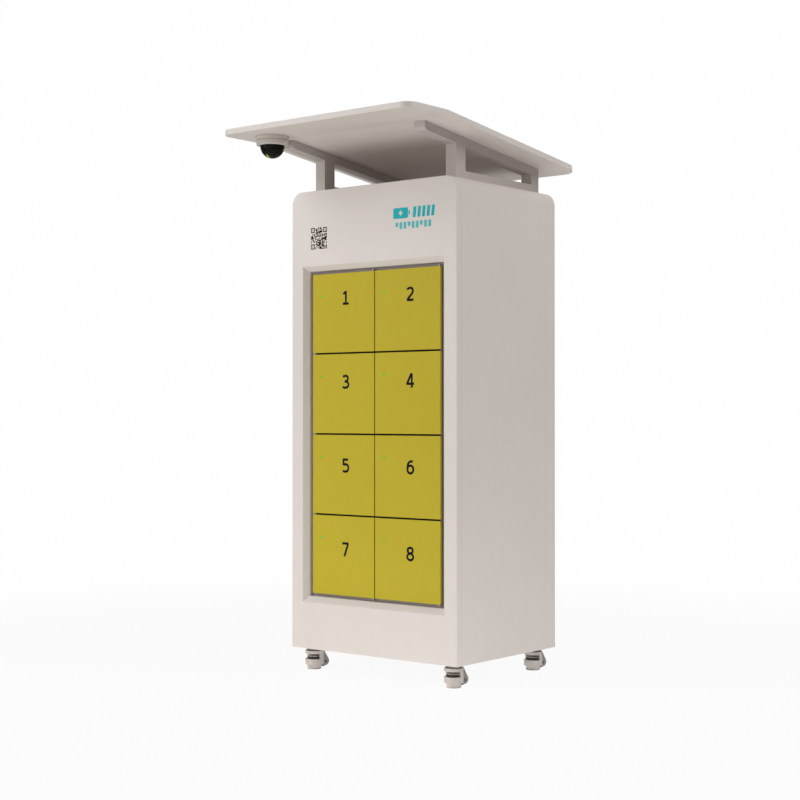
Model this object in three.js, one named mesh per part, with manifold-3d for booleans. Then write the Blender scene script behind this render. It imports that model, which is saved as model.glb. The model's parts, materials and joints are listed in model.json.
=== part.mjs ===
// Battery-exchange locker: a sheet-metal cabinet with eight numbered compartments behind
// hinged doors, a canopy roof on two tube brackets, a dome camera under the canopy and four
// levelling castors. Millimetres, +Z up, front facing -Y, right towards +X.
// Origin: on the floor, under the centre of the roof's footprint.
// Pieces are drawn in the cabinet's frame: x from its centre, y to the rear from its front
// face, z up from its underside.

import * as THREE from 'three';
import { mergeVertices } from 'three/addons/utils/BufferGeometryUtils.js';
import Module from 'manifold-3d';

const wasm = await Module();
wasm.setup();
const { Manifold, Mesh: ManifoldMesh } = wasm;

// ---------------------------------------------------------------- shared dimensions
const GAP = 0.3;                    // clearance between separate pieces
const OVER = 1;                     // cutters run this far past a face, joined parts sink this deep
const FIT = 0.5;                    // clearance of the parts fitted to the shell
const CASTOR_H = 80;

const CABINET_W = 750, CABINET_D = 595, CABINET_H = 1653;
const CORNER_R = 47;                // rolled top edges
const SHEET = 2;
const FASCIA_DEPTH = 27;            // return of the front panel
const INSERT_X = CABINET_W / 2 - SHEET - FIT;   // half width of plates between the sides

const FRAME_Y0 = 34, FRAME_Y1 = FRAME_Y0 + 3;   // door frame plate

const COLS = 2, ROWS = 4;
const DOOR_X0 = -291, DOOR_PITCH_X = 292.5, DOOR_W = 289.5;
const DOOR_TOP = 1352, DOOR_H = 284.625, DOOR_GAP_Z = 4.5;
const DOOR_PITCH_Z = DOOR_H + DOOR_GAP_Z;
const DOORS_BOTTOM = DOOR_TOP - ROWS * DOOR_PITCH_Z + DOOR_GAP_Z;
const DOOR_Y0 = 19, DOOR_Y1 = 28;
const PIN_IN = 7;                   // hinge pins, in from a door's right edge
const PIN_Y = 24.5, PIN_R = 2;
const LED_IN = 41.3, LED_DOWN = 79.1, LED_R = 2.7;
const OPEN_LEFT = 23, OPEN_RIGHT = 18.5, OPEN_Z = 12;  // frame opening, in from the door's edges

const RACK_T = 1.5;
const RACK_TOP = DOOR_TOP + 2;

const REAR_X = 342, REAR_Z0 = 48, REAR_Z1 = 1582;      // rear service door
const REAR_Y0 = 599, REAR_Y1 = 610;
const REAR_PIN_X = REAR_X - PIN_IN, REAR_PIN_Y = (REAR_Y0 + REAR_Y1) / 2;

const ROOF_FRONT = -318, ROOF_REAR = 677;
const ROOF_HALF_W = 425.5, ROOF_T = 20;
const ROOF_TOP = 1846, ROOF_REAR_TOP = 1750.5;
const FOLD_Y = -114;                // level in front of the fold, falling behind it
const BRACKET_IN = 277, BRACKET_OUT = 321;             // inner and outer faces, from the centre
const BRACKET_X = (BRACKET_IN + BRACKET_OUT) / 2;

const CAMERA_X = -293.5, CAMERA_Y = -191.5;
const CASTOR_X = 318, CASTOR_FRONT_Y = 58, CASTOR_REAR_Y = 537;

// Each finish: colour, roughness, metalness
const finish = (color, roughness, metalness) => ({ color, roughness, metalness });
const FINISH = {
  body: finish(0xddd6d0, 0.45, 0),
  tray: finish(0xb9b6b1, 0.5, 0.6),
  frame: finish(0x8a8682, 0.5, 0.3),
  door: finish(0xb8a832, 0.42, 0),
  led: finish(0x5abe46, 0.25, 0),
  lock: finish(0x4a4a4c, 0.5, 0.5),
  rack: finish(0xb9b6b1, 0.4, 0.7),
  backplane: finish(0x3a3d40, 0.55, 0),
  charger: finish(0x6d7074, 0.45, 0.6),
  handle: finish(0x2b2a28, 0.4, 0.2),
  cameraCase: finish(0xc9c4be, 0.45, 0),
  dome: finish(0x1e201c, 0.08, 0),
  cameraModule: finish(0x33353a, 0.4, 0.1),
  castorHead: finish(0x9a9690, 0.45, 0.5),
  castorHousing: finish(0xb4afaa, 0.5, 0.3),
  wheel: finish(0x5a5856, 0.5, 0),
  thumbwheel: finish(0x34302e, 0.6, 0),
  foot: finish(0xb9b2ac, 0.7, 0),
};

// ---------------------------------------------------------------- helpers
// Manifold from a closed geometry: seams welded, collapsed triangles dropped, faces outward
function solid(geometry) {
  const bare = new THREE.BufferGeometry();
  bare.setAttribute('position', geometry.attributes.position);
  bare.setIndex(geometry.index);
  const { attributes: { position }, index: { array: index } } = mergeVertices(bare, 1e-4);
  const corner = (i) => new THREE.Vector3().fromBufferAttribute(position, i);
  const triangles = [];
  let volume = 0;
  for (let i = 0; i < index.length; i += 3) {
    const [a, b, c] = index.slice(i, i + 3);
    if (a === b || b === c || a === c) continue;
    triangles.push([a, b, c]);
    volume += corner(a).dot(corner(b).cross(corner(c)));
  }
  const outward = volume < 0 ? triangles.map(([a, b, c]) => [a, c, b]) : triangles;
  return new Manifold(new ManifoldMesh({
    numProp: 3,
    vertProperties: new Float32Array(position.array),
    triVerts: new Uint32Array(outward.flat()),
  }));
}

const join = (...parts) => parts.reduce((sum, part) => sum.add(part));
const cut = (body, ...tools) => tools.reduce((rest, tool) => rest.subtract(tool), body);

function box(x0, x1, y0, y1, z0, z1) {
  const geometry = new THREE.BoxGeometry(x1 - x0, y1 - y0, z1 - z0);
  return solid(geometry.translate((x0 + x1) / 2, (y0 + y1) / 2, (z0 + z1) / 2));
}

// Box given by its centre and half width in x
const midBox = (x, half, y0, y1, z0, z1) => box(x - half, x + half, y0, y1, z0, z1);

// Upright cylinder, or a cone where the top radius differs
function rod(x, y, z0, z1, radius, segments, topRadius = radius) {
  const geometry = new THREE.CylinderGeometry(topRadius, radius, z1 - z0, segments);
  return solid(geometry.rotateX(Math.PI / 2).translate(x, y, (z0 + z1) / 2));
}

function rodY(x, z, y0, y1, radius, segments) {
  const geometry = new THREE.CylinderGeometry(radius, radius, y1 - y0, segments);
  return solid(geometry.translate(x, (y0 + y1) / 2, z));
}

function rodX(y, z, x0, x1, radius, segments) {
  const geometry = new THREE.CylinderGeometry(radius, radius, x1 - x0, segments);
  return solid(geometry.rotateZ(Math.PI / 2).translate((x0 + x1) / 2, y, z));
}

const extrude = (shape, depth) => new THREE.ExtrudeGeometry(
  shape, { depth, bevelEnabled: false, curveSegments: 6 });

// Shape in x, z drawn along y
const alongY = (shape, y0, y1) => solid(
  extrude(shape, y1 - y0).rotateX(Math.PI / 2).translate(0, y1, 0));

// Shape in x, y drawn along z
const alongZ = (shape, z0, z1) => solid(extrude(shape, z1 - z0).translate(0, 0, z0));

// Polygon of [y, z] points drawn along x
function alongX(points, x0, x1) {
  const shape = new THREE.Shape(points.map(([y, z]) => new THREE.Vector2(y, z)));
  const yzToWorld = new THREE.Matrix4().makeBasis(
    new THREE.Vector3(0, 1, 0), new THREE.Vector3(0, 0, 1), new THREE.Vector3(1, 0, 0));
  return solid(extrude(shape, x1 - x0).applyMatrix4(yzToWorld).translate(x0, 0, 0));
}

// Profile of [radius, height] turned about the Y axis
const revolve = (profile, segments) => new THREE.LatheGeometry(
  profile.map(([radius, height]) => new THREE.Vector2(radius, height)), segments);

// Rectangle with radii at [lower left, lower right, upper right, upper left]
function roundRect(left, right, bottom, top, [lowLeft, lowRight, upRight, upLeft]) {
  const shape = new THREE.Shape();
  const corner = (x, y, radius, quarter) => {
    const start = quarter * Math.PI / 2;
    if (radius) shape.absarc(x, y, radius, start, start + Math.PI / 2, false);
  };
  shape.moveTo(left + lowLeft, bottom);
  shape.lineTo(right - lowRight, bottom);
  corner(right - lowRight, bottom + lowRight, lowRight, -1);
  shape.lineTo(right, top - upRight);
  corner(right - upRight, top - upRight, upRight, 0);
  shape.lineTo(left + upLeft, top);
  corner(left + upLeft, top - upLeft, upLeft, 1);
  shape.lineTo(left, bottom + lowLeft);
  corner(left + lowLeft, bottom + lowLeft, lowLeft, 2);
  return shape;
}

// Frustum between two centred rectangles [half width, z0, z1] at two depths in y
function frustum(y0, rect0, y1, rect1) {
  const vertices = [[y0, rect0], [y1, rect1]].flatMap(([y, [half, z0, z1]]) => [
    -half, y, z0, half, y, z0, half, y, z1, -half, y, z1]);
  const geometry = new THREE.BufferGeometry();
  geometry.setAttribute('position', new THREE.Float32BufferAttribute(vertices, 3));
  geometry.setIndex([
    0, 1, 2, 0, 2, 3, 4, 6, 5, 4, 7, 6,
    0, 4, 5, 0, 5, 1, 1, 5, 6, 1, 6, 2, 2, 6, 7, 2, 7, 3, 3, 7, 4, 3, 4, 0]);
  return solid(geometry);
}

// Hinge pins standing out of a door's top and bottom edges
const hingePins = (x, y, z0, z1, reach, radius, segments) => join(
  rod(x, y, z1 - OVER, z1 + reach, radius, segments),
  rod(x, y, z0 - reach, z0 + OVER, radius, segments));

const object = new THREE.Group();
const cabinet = new THREE.Group();
cabinet.position.set(0, -(ROOF_FRONT + ROOF_REAR) / 2, CASTOR_H);
object.add(cabinet);

function addPiece(name, body, material) {
  const { vertProperties, triVerts } = body.getMesh();
  const geometry = new THREE.BufferGeometry();
  geometry.setAttribute('position', new THREE.Float32BufferAttribute(vertProperties, 3));
  geometry.setIndex(Array.from(triVerts));
  geometry.computeVertexNormals();
  const mesh = new THREE.Mesh(geometry, new THREE.MeshStandardMaterial(material));
  mesh.name = name;
  cabinet.add(mesh);
}

// ---------------------------------------------------------------- cabinet body
function cabinetOutline(inset, bottom = inset) {
  const radius = CORNER_R - inset, half = CABINET_W / 2 - inset;
  return roundRect(-half, half, bottom, CABINET_H - inset, [0, 0, radius, radius]);
}

// Sides and top in one sheet, with a rear flange round the service opening
function cabinetShell() {
  const y0 = FASCIA_DEPTH + FIT, flangeY = CABINET_D - SHEET;
  const lap = 16;                   // rear door over the flange
  let shell = cut(
    alongY(cabinetOutline(0), y0, CABINET_D),
    alongY(cabinetOutline(SHEET, -OVER), y0 - OVER, flangeY),
    midBox(0, REAR_X - lap, flangeY - OVER, CABINET_D + OVER, REAR_Z0 + lap, REAR_Z1 - lap));
  // hinge ears above and below the rear door
  const near = 1.3, far = 5.3;
  for (const [z0, z1] of [[REAR_Z1 + near, REAR_Z1 + far], [REAR_Z0 - far, REAR_Z0 - near]]) {
    shell = shell.add(midBox(REAR_PIN_X, 6, CABINET_D - OVER, REAR_Y1, z0, z1));
    shell = cut(shell, rod(REAR_PIN_X, REAR_PIN_Y, z0 - OVER, z1 + OVER, 3.35, 12));
  }
  return shell;
}

// Shallow pan with the bevelled surround of the door bay
function frontPanel() {
  // bay cut-out as [half width, z0, z1]
  const face = [323.5, 168, 1382];  // at the front face
  const foot = [305, 189, 1364];    // at the foot of the bevel
  const footY = 20;
  const grow = ([half, z0, z1], by) => [half + by, z0 - by, z1 + by];
  const footBox = ([half, z0, z1], y0, y1) => midBox(0, half, y0, y1, z0, z1);
  // the bevel's cutter carries its slope on in front of the face by this share of its depth
  const overshoot = 0.05;
  const cutterFace = face.map((value, i) => value + overshoot * (value - foot[i]));

  const pan = cut(
    alongY(cabinetOutline(0), 0, FASCIA_DEPTH),
    alongY(cabinetOutline(SHEET), SHEET, FASCIA_DEPTH + OVER));
  const surround = join(
    pan,
    frustum(0, grow(face, SHEET), footY, grow(foot, SHEET)),
    footBox(grow(foot, SHEET), footY - OVER, FRAME_Y0 - GAP));
  return cut(
    surround,
    frustum(-overshoot * footY, cutterFace, footY, foot),
    footBox(foot, footY - 0.01, FRAME_Y0 + OVER));
}

// Open tray with castor stud holes and six cross slots in its floor
function baseTray() {
  const y0 = 28, y1 = 592, height = 28, floor = 3;
  const slotY = 180, slotPitch = 48, slotW = 8, slotHalfLength = 150;
  let tray = cut(
    midBox(0, INSERT_X, y0, y1, 0, height),
    midBox(0, INSERT_X - SHEET, y0 + SHEET, y1 - SHEET, floor, 40));
  for (const x of [-CASTOR_X, CASTOR_X]) {
    for (const y of [CASTOR_FRONT_Y, CASTOR_REAR_Y]) {
      tray = cut(tray, rod(x, y, -OVER, floor + OVER, 6.6, 16));
    }
  }
  for (let i = 0; i < 6; i++) {
    const y = slotY + i * slotPitch;
    tray = cut(tray, midBox(0, slotHalfLength, y, y + slotW, -OVER, floor + OVER));
  }
  return tray;
}

addPiece('cabinet_shell', cabinetShell(), FINISH.body);
addPiece('front_panel', frontPanel(), FINISH.body);
addPiece('base_tray', baseTray(), FINISH.tray);

// ---------------------------------------------------------------- door bay
// Doors numbered from the top left, row by row
const doors = [];
for (let row = 0; row < ROWS; row++) {
  for (let col = 0; col < COLS; col++) {
    const x0 = DOOR_X0 + col * DOOR_PITCH_X, x1 = x0 + DOOR_W;
    const z1 = DOOR_TOP - row * DOOR_PITCH_Z;
    doors.push({
      number: row * COLS + col + 1,
      x0, x1, z0: z1 - DOOR_H, z1,
      midZ: z1 - DOOR_H / 2,
      pinX: x1 - PIN_IN,
      openX0: x0 + OPEN_LEFT, openX1: x1 - OPEN_RIGHT,
      ledX: x0 + LED_IN, ledZ: z1 - LED_DOWN,
    });
  }
}
const [leftDoor, rightDoor] = doors;
const RACK_X0 = leftDoor.openX0 - RACK_T, RACK_X1 = rightDoor.openX1 + RACK_T;

// Middle of the gap above row i
const doorGapZ = (i) => DOOR_TOP + DOOR_GAP_Z / 2 - i * DOOR_PITCH_Z;

// One plate between the cabinet's sides, with hinge ears above, between and below the doors
function doorFrame() {
  const cutY0 = FRAME_Y0 - OVER, cutY1 = FRAME_Y1 + OVER;
  let frame = midBox(0, INSERT_X, FRAME_Y0, FRAME_Y1, 32, 1500);
  for (const { x0, z0, z1, midZ, openX0, openX1 } of doors) {
    frame = cut(
      frame,
      box(openX0, openX1, cutY0, cutY1, z0 + OPEN_Z, z1 - OPEN_Z),
      box(x0 + 8, x0 + 15.5, cutY0, cutY1, midZ - 9, midZ + 9));   // slot for the striker tongue
  }
  const earHalfT = 1, endEarT = 3;
  for (const { pinX } of [leftDoor, rightDoor]) {
    for (let i = 0; i <= ROWS; i++) {
      const z0 = doorGapZ(i) - (i === ROWS ? endEarT : earHalfT);
      const z1 = doorGapZ(i) + (i === 0 ? endEarT : earHalfT);
      frame = frame.add(midBox(pinX, 4.5, 20.6, FRAME_Y0 + 0.5, z0, z1));
      frame = cut(frame, rod(pinX, PIN_Y, z0 - OVER, z1 + OVER, PIN_R + 0.35, 10));
    }
  }
  return frame;
}

function compartmentDoor({ x0, x1, z0, z1, midZ, pinX, ledX, ledZ }) {
  const skin = 1.5;
  const hollowX0 = x0 + 20, hollowX1 = x1 - 14;   // solid stiles outside: lock left, hinge right
  const tongueX = x0 + 12;
  const panel = cut(
    box(x0, x1, DOOR_Y0, DOOR_Y1, z0, z1),
    box(hollowX0, hollowX1, DOOR_Y0 + skin, DOOR_Y1 + OVER, z0 + skin, z1 - skin));
  const rib = box(hollowX0 - OVER, hollowX1 + OVER, DOOR_Y0 + 1, DOOR_Y1 - 2,
    midZ - 12, midZ - 10.5);
  // striker tongue with a catch hole
  const tongue = cut(
    midBox(tongueX, 1, DOOR_Y1 - OVER, 52, midZ - 6, midZ + 6),
    rodX(45, midZ, tongueX - 2, tongueX + 2, 3, 8));
  return cut(
    join(panel, rib, hingePins(pinX, PIN_Y, z0, z1, 2.05, PIN_R, 10), tongue),
    rodY(ledX, ledZ, DOOR_Y0 - OVER, DOOR_Y1 + OVER, LED_R + GAP, 12));
}

function statusLed({ ledX, ledZ }) {
  // [radius, distance behind the door's face]
  const profile = [[0, -1.1], [1.6, -0.8], [LED_R, 0], [LED_R, 7.5], [0, 7.5]];
  return solid(revolve(profile, 12).translate(ledX, DOOR_Y0, ledZ));
}

// Lock behind the frame, with a pocket for the tongue and a round stub at the rear
function doorLock({ x0, midZ }) {
  const centreX = x0 + 12, rearY = 92;
  const body = cut(
    midBox(centreX, 9, FRAME_Y1 + GAP, rearY, midZ - 38, midZ + 38),
    box(x0 + 7.5, x0 + 16, FRAME_Y0, 58, midZ - 9.5, midZ + 9.5));
  return body.add(rodY(centreX, midZ + 18, rearY - OVER, 104, 7, 10));
}

// Shelves and walls, open at the front and rear, with a channel between the columns
function compartmentRack() {
  const y0 = 38, y1 = 480, shelfHalfT = 1;
  const bays = [
    [leftDoor.openX0, leftDoor.openX1],
    [leftDoor.openX1 + RACK_T, rightDoor.openX0 - RACK_T],
    [rightDoor.openX0, rightDoor.openX1],
  ];
  let rack = box(RACK_X0, RACK_X1, y0, y1, DOORS_BOTTOM - 2, RACK_TOP);
  for (let row = 0; row < ROWS; row++) {
    const z1 = row === 0 ? DOOR_TOP : doorGapZ(row) - shelfHalfT;
    const z0 = row === ROWS - 1 ? DOORS_BOTTOM : doorGapZ(row + 1) + shelfHalfT;
    for (const [x0, x1] of bays) rack = cut(rack, box(x0, x1, y0 - OVER, y1 + OVER, z0, z1));
  }
  return rack;
}

// Plate behind the rack, with a charging socket at the foot of each compartment
function connectorBackplane() {
  const y0 = 481, thickness = 3;
  let plate = box(RACK_X0, RACK_X1, y0, y0 + thickness, DOORS_BOTTOM, DOOR_TOP);
  for (const door of doors) {
    const x = (door.openX0 + door.openX1) / 2, z = door.z0 + 22;
    const housing = cut(
      midBox(x, 45, 456, y0 + OVER, z, z + 56),
      midBox(x, 32, 455, 470, z + 12, z + 44));
    // bar inside the socket, split in the middle
    const bar = cut(
      midBox(x, 26, 462, 471, z + 24, z + 32),
      midBox(x, 2, 461, 470, z + 20, z + 36));
    plate = join(plate, housing, bar);
  }
  return plate;
}

// Casing open below, standing on the rack, with grooves in its top and two boxes on its front
function chargerControlUnit() {
  const half = 210, y0 = 110, y1 = 470, wall = 3, top = 1478;
  const grooveX = -190, groovePitch = 26, grooveW = 10;
  let unit = cut(
    midBox(0, half, y0, y1, RACK_TOP + GAP, top),
    midBox(0, half - wall, y0 + wall, y1 - wall, 1350, 1456));
  for (let i = 0; i < 8; i++) {
    const x = grooveX + i * groovePitch;
    unit = cut(unit, box(x, x + grooveW, y0 - OVER, y1 + OVER, 1462, top + 2));
  }
  return join(
    unit,
    box(40, 190, 100, y0 + OVER, 1372, 1440),
    box(-60, 20, 104, y0 + OVER, 1380, 1420));
}

addPiece('door_frame', doorFrame(), FINISH.frame);
for (const door of doors) {
  addPiece(`door_${door.number}`, compartmentDoor(door), FINISH.door);
  addPiece(`status_led_${door.number}`, statusLed(door), FINISH.led);
  addPiece(`lock_${door.number}`, doorLock(door), FINISH.lock);
}
addPiece('compartment_rack', compartmentRack(), FINISH.rack);
addPiece('connector_backplane', connectorBackplane(), FINISH.backplane);
addPiece('charger_control_unit', chargerControlUnit(), FINISH.charger);

// ---------------------------------------------------------------- rear service door
const HANDLE_X = -310, HANDLE_Z = 820, SPINDLE_R = 6;

function rearDoor() {
  const slotX = 130, slotHalfLength = 80, slotPitch = 24, slotH = 8;
  let door = cut(
    midBox(0, REAR_X, REAR_Y0, REAR_Y1, REAR_Z0, REAR_Z1),
    box(-REAR_X + SHEET, REAR_X - 15, REAR_Y0 - OVER, REAR_Y1 - SHEET,
      REAR_Z0 + SHEET, REAR_Z1 - SHEET));
  door = door.add(hingePins(REAR_PIN_X, REAR_PIN_Y, REAR_Z0, REAR_Z1, 4.6, 3, 12));
  // air slots, low and high, in two columns
  for (const slotZ of [150, 1380]) {
    for (const x of [-slotX, slotX]) {
      for (let i = 0; i < 5; i++) {
        const z = slotZ + i * slotPitch;
        door = cut(door, midBox(x, slotHalfLength, REAR_Y1 - 4, REAR_Y1 + OVER, z, z + slotH));
      }
    }
  }
  return cut(door,
    rodY(HANDLE_X, HANDLE_Z, REAR_Y0 - OVER, REAR_Y1 + OVER, SPINDLE_R + 0.6, 12));
}

function rearDoorHandle() {
  const bossRear = 622;
  const grip = roundRect(HANDLE_X - 9, HANDLE_X + 9, HANDLE_Z - 96, HANDLE_Z + 10, [6, 6, 4, 4]);
  return join(
    rodY(HANDLE_X, HANDLE_Z, 586, bossRear, SPINDLE_R, 12),
    rodY(HANDLE_X, HANDLE_Z, REAR_Y1 + 0.5, bossRear, 13, 16),
    alongY(grip, 618, 628),
    midBox(HANDLE_X, 8, 587, 590.5, HANDLE_Z - 8, HANDLE_Z + 32));   // cam on the inner end
}

addPiece('rear_door', rearDoor(), FINISH.body);
addPiece('rear_door_handle', rearDoorHandle(), FINISH.handle);

// ---------------------------------------------------------------- canopy
const ROOF_SLOPE = (ROOF_TOP - ROOF_REAR_TOP) / (ROOF_REAR - FOLD_Y);
const roofTop = (y) => (y <= FOLD_Y ? ROOF_TOP : ROOF_TOP - ROOF_SLOPE * (y - FOLD_Y));
const roofUnder = (y) => roofTop(y) - ROOF_T;

// The roof's envelope: side profile intersected with the rounded plan
function roofBody(inset) {
  const front = ROOF_FRONT + inset, rear = ROOF_REAR - inset, half = ROOF_HALF_W - inset;
  const frontR = 42 - inset, rearR = 58 - inset;
  const profile = [
    ...[front, FOLD_Y, rear].map((y) => [y, roofUnder(y) + inset]),
    ...[rear, FOLD_Y, front].map((y) => [y, roofTop(y) - inset]),
  ];
  const plan = roundRect(-half, half, front, rear, [frontR, frontR, rearR, rearR]);
  return alongX(profile, -half, half).intersect(alongZ(plan, 1600, 1900));
}

// Hollow panel with bolt holes over the brackets and a cable hole over the camera
function roofPanel() {
  const skin = 1.5;
  let roof = cut(roofBody(0), roofBody(skin));
  for (const x of [-BRACKET_X, BRACKET_X]) {
    for (const y of [-60, 90, 318, 545]) {
      roof = cut(roof, rod(x, y, roofUnder(y) - 3, roofUnder(y) + 4, 3.3, 8));
    }
  }
  const under = roofUnder(CAMERA_Y);
  return cut(roof, rod(CAMERA_X, CAMERA_Y, under - OVER, under + 3, 8, 12));
}

// Welded tube loop standing on the cabinet's top, with its beam running on to the front
function roofBracket(side) {
  const wall = 2.5, clearance = GAP + 0.02;
  const frontPost = [68, 122], rearPost = [523, 570];   // y of each post's front and rear faces
  const baseTop = 1682, beamH = 30, beamFront = -106, beamR = 20;
  const foot = CABINET_H + clearance;
  const beamTop = (y) => roofUnder(y) - clearance;
  const beamUnder = (y) => roofUnder(y) - beamH;
  const [x0, x1] = side > 0 ? [BRACKET_IN, BRACKET_OUT] : [-BRACKET_OUT, -BRACKET_IN];

  // beam's lower front corner
  const arcY = beamFront + beamR, arcZ = beamUnder(arcY) + beamR;
  const nose = [];
  for (let i = 1; i <= 6; i++) {
    const angle = Math.PI + (i / 6) * (Math.PI / 2);
    nose.push([arcY + beamR * Math.cos(angle), arcZ + beamR * Math.sin(angle)]);
  }
  const outline = [
    [frontPost[0], foot], [rearPost[1], foot], [rearPost[1], beamTop(rearPost[1])],
    [beamFront, beamTop(beamFront)], [beamFront, beamUnder(beamFront) + beamR],
    ...nose, [frontPost[0], beamUnder(frontPost[0])],
  ];

  // four-sided [y, z] region with a bottom and top that may slope
  const region = (y0, y1, bottom, top) => [
    [y0, bottom(y0)], [y1, bottom(y1)], [y1, top(y1)], [y0, top(y0)]];
  const window = region(frontPost[1], rearPost[0], () => baseTop, beamUnder);
  const bore = (y0, y1, bottom, top) => alongX(
    region(y0, y1, bottom, top), x0 + wall, x1 - wall);
  const boreFloor = () => foot + wall;
  const boreTop = (y) => beamTop(y) - wall;
  const boreY1 = rearPost[1] - wall;
  const hollow = join(
    bore(frontPost[0] + wall, boreY1, boreFloor, () => baseTop - wall),
    bore(arcY, boreY1, (y) => beamUnder(y) + wall, boreTop),
    bore(frontPost[0] + wall, frontPost[1] - wall, boreFloor, boreTop),
    bore(rearPost[0] + wall, boreY1, boreFloor, boreTop));
  const boltHoles = [91, 545].map((y) => rod(
    side * BRACKET_X, y, CABINET_H - OVER, foot + wall + OVER, 4.5, 8));
  return cut(
    alongX(outline, x0, x1), alongX(window, x0 - OVER, x1 + OVER), hollow, ...boltHoles);
}

addPiece('roof_panel', roofPanel(), FINISH.body);
addPiece('roof_bracket_left', roofBracket(-1), FINISH.body);
addPiece('roof_bracket_right', roofBracket(1), FINISH.body);

// ---------------------------------------------------------------- dome camera
const CAMERA_R = 56.5, CAMERA_WALL_R = CAMERA_R - 3;    // outer and inner radius of the case
const cameraZ = (drop) => roofUnder(CAMERA_Y) - drop;   // height at a drop below the roof

// Profile of [radius, drop below the roof] turned about the camera's upright axis
function cameraLathe(profile, segments) {
  const geometry = revolve(profile.map(([radius, drop]) => [radius, cameraZ(drop)]), segments);
  return solid(geometry.rotateX(Math.PI / 2).translate(CAMERA_X, CAMERA_Y, 0));
}

const cameraBase = () => cameraLathe([
  [9, GAP], [CAMERA_R, GAP], [CAMERA_R, 14.7], [CAMERA_WALL_R, 14.7],
  [CAMERA_WALL_R, 3.5], [9, 3.5], [9, GAP],
], 28);

const cameraCoverRing = () => cameraLathe([
  [CAMERA_R, 15.3], [CAMERA_R, 29.3], [CAMERA_R - 1.2, 31.9], [CAMERA_R - 4, 33.3],
  [43.1, 33.3], [43.1, 30.8], [CAMERA_WALL_R, 30.8], [CAMERA_WALL_R, 15.3], [CAMERA_R, 15.3],
], 28);

// Thin dome with a flange held above the cover ring's lip
function cameraDome() {
  const outerR = 42.6, innerR = outerR - 2, flangeR = 48, centreDrop = 34.8;
  const flangeUnder = 30.3, flangeTop = 28.3;
  const quarterArc = (radius, steps) => Array.from({ length: steps + 1 }, (_, i) => {
    const angle = (i / steps) * Math.PI / 2;
    return [radius * Math.sin(angle), centreDrop + radius * Math.cos(angle)];
  });
  return cameraLathe([
    ...quarterArc(outerR, 6),
    [outerR, flangeUnder], [flangeR, flangeUnder], [flangeR, flangeTop], [innerR, flangeTop],
    ...quarterArc(innerR, 4).reverse(),
  ], 24);
}

// Turntable, yoke, ball and a lens barrel pointing forward and up
function cameraModule() {
  const ballZ = cameraZ(44), armX = 28.5, lensLength = 27, lensTilt = 0.7;
  const arm = (side) => midBox(
    CAMERA_X + side * armX, 2.5, CAMERA_Y - 6, CAMERA_Y + 6, ballZ - 6, cameraZ(24));
  const ball = new THREE.SphereGeometry(23, 12, 7).translate(CAMERA_X, CAMERA_Y, ballZ);
  const lens = new THREE.CylinderGeometry(10, 10, lensLength, 12)
    .translate(0, lensLength / 2, 0)
    .rotateX(Math.PI - lensTilt)
    .translate(CAMERA_X, CAMERA_Y, ballZ);
  return join(
    rod(CAMERA_X, CAMERA_Y, cameraZ(25), cameraZ(19), 34, 16),
    rod(CAMERA_X, CAMERA_Y, cameraZ(20), cameraZ(2), 8, 10),
    arm(-1), arm(1),
    rodX(CAMERA_Y, ballZ, CAMERA_X - 29, CAMERA_X + 29, 4, 8),
    solid(ball), solid(lens));
}

addPiece('camera_base', cameraBase(), FINISH.cameraCase);
addPiece('camera_cover_ring', cameraCoverRing(), FINISH.cameraCase);
addPiece('camera_dome', cameraDome(), FINISH.dome);
addPiece('camera_module', cameraModule(), FINISH.cameraModule);

// ---------------------------------------------------------------- levelling castors
const AXLE_BACK = 44.5, AXLE_Z = -59;     // wheel axle, behind the castor's upright axis
const STEM_R = 8;
const SLOT_Z0 = -43, SLOT_Z1 = -24.5;     // thumbwheel slot

// Fixed head with a stud up through the base tray
const castorHead = (x, y) => join(
  rod(x, y, -5, -GAP, 33, 20),
  rod(x, y, -12, -4.5, 27, 16),
  rod(x, y, -1, 20, 6, 8));

// Housing with the thumbwheel slot, the foot's recess and the cheeks of the wheel
function castorHousing(x, y) {
  const top = -12.6, bottom = -64, axleY = y + AXLE_BACK;
  const arcR = 20, arcStart = 0.62, arcSweep = 2.75, arcSquash = 0.78;
  const pocketHalf = 9.2, bossIn = 8.8, bossOut = 17, bossR = 5.2;
  const arc = [];
  for (let i = 0; i <= 6; i++) {
    const angle = arcStart - (i / 6) * arcSweep;
    arc.push([axleY + arcR * Math.cos(angle),
      AXLE_Z + arcR * Math.sin(angle) * arcSquash + 1.5]);
  }
  const cheeks = alongX(
    [[y + 20, top], [y + 35, top], ...arc, [y + 22, bottom]], x - 15.5, x + 15.5);
  const body = cut(
    rod(x, y, bottom, top, 33, 24).add(cheeks),
    rod(x, y, SLOT_Z0, SLOT_Z1, 26, 18),                     // thumbwheel chamber
    midBox(x, 40, y - 40, y - 2, SLOT_Z0, SLOT_Z1),          // front mouth of the slot
    rod(x, y, -90, -50, 27.4, 18),                           // recess for the foot pad
    rod(x, y, -60, -16, STEM_R + 0.8, 10),                   // stem bore
    midBox(x, pocketHalf, y + 24, y + 80, -90, -37));        // wheel pocket
  return join(
    body,
    rodX(axleY, AXLE_Z, x - bossOut, x - bossIn, bossR, 10),
    rodX(axleY, AXLE_Z, x + bossIn, x + bossOut, bossR, 10),
    rodX(axleY, AXLE_Z, x - 9.5, x + 9.5, 3, 8));            // axle pin
}

function castorWheel(x, y) {
  const radius = 18, boreR = 3.4, half = 8, chamfer = 1.5;
  // [radius, distance along the axle]
  const profile = [
    [boreR, -half], [radius - chamfer, -half], [radius, -half + chamfer],
    [radius, half - chamfer], [radius - chamfer, half], [boreR, half], [boreR, -half],
  ];
  const geometry = revolve(profile, 20).rotateZ(Math.PI / 2);
  return solid(geometry.translate(x, y + AXLE_BACK, AXLE_Z));
}

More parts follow.
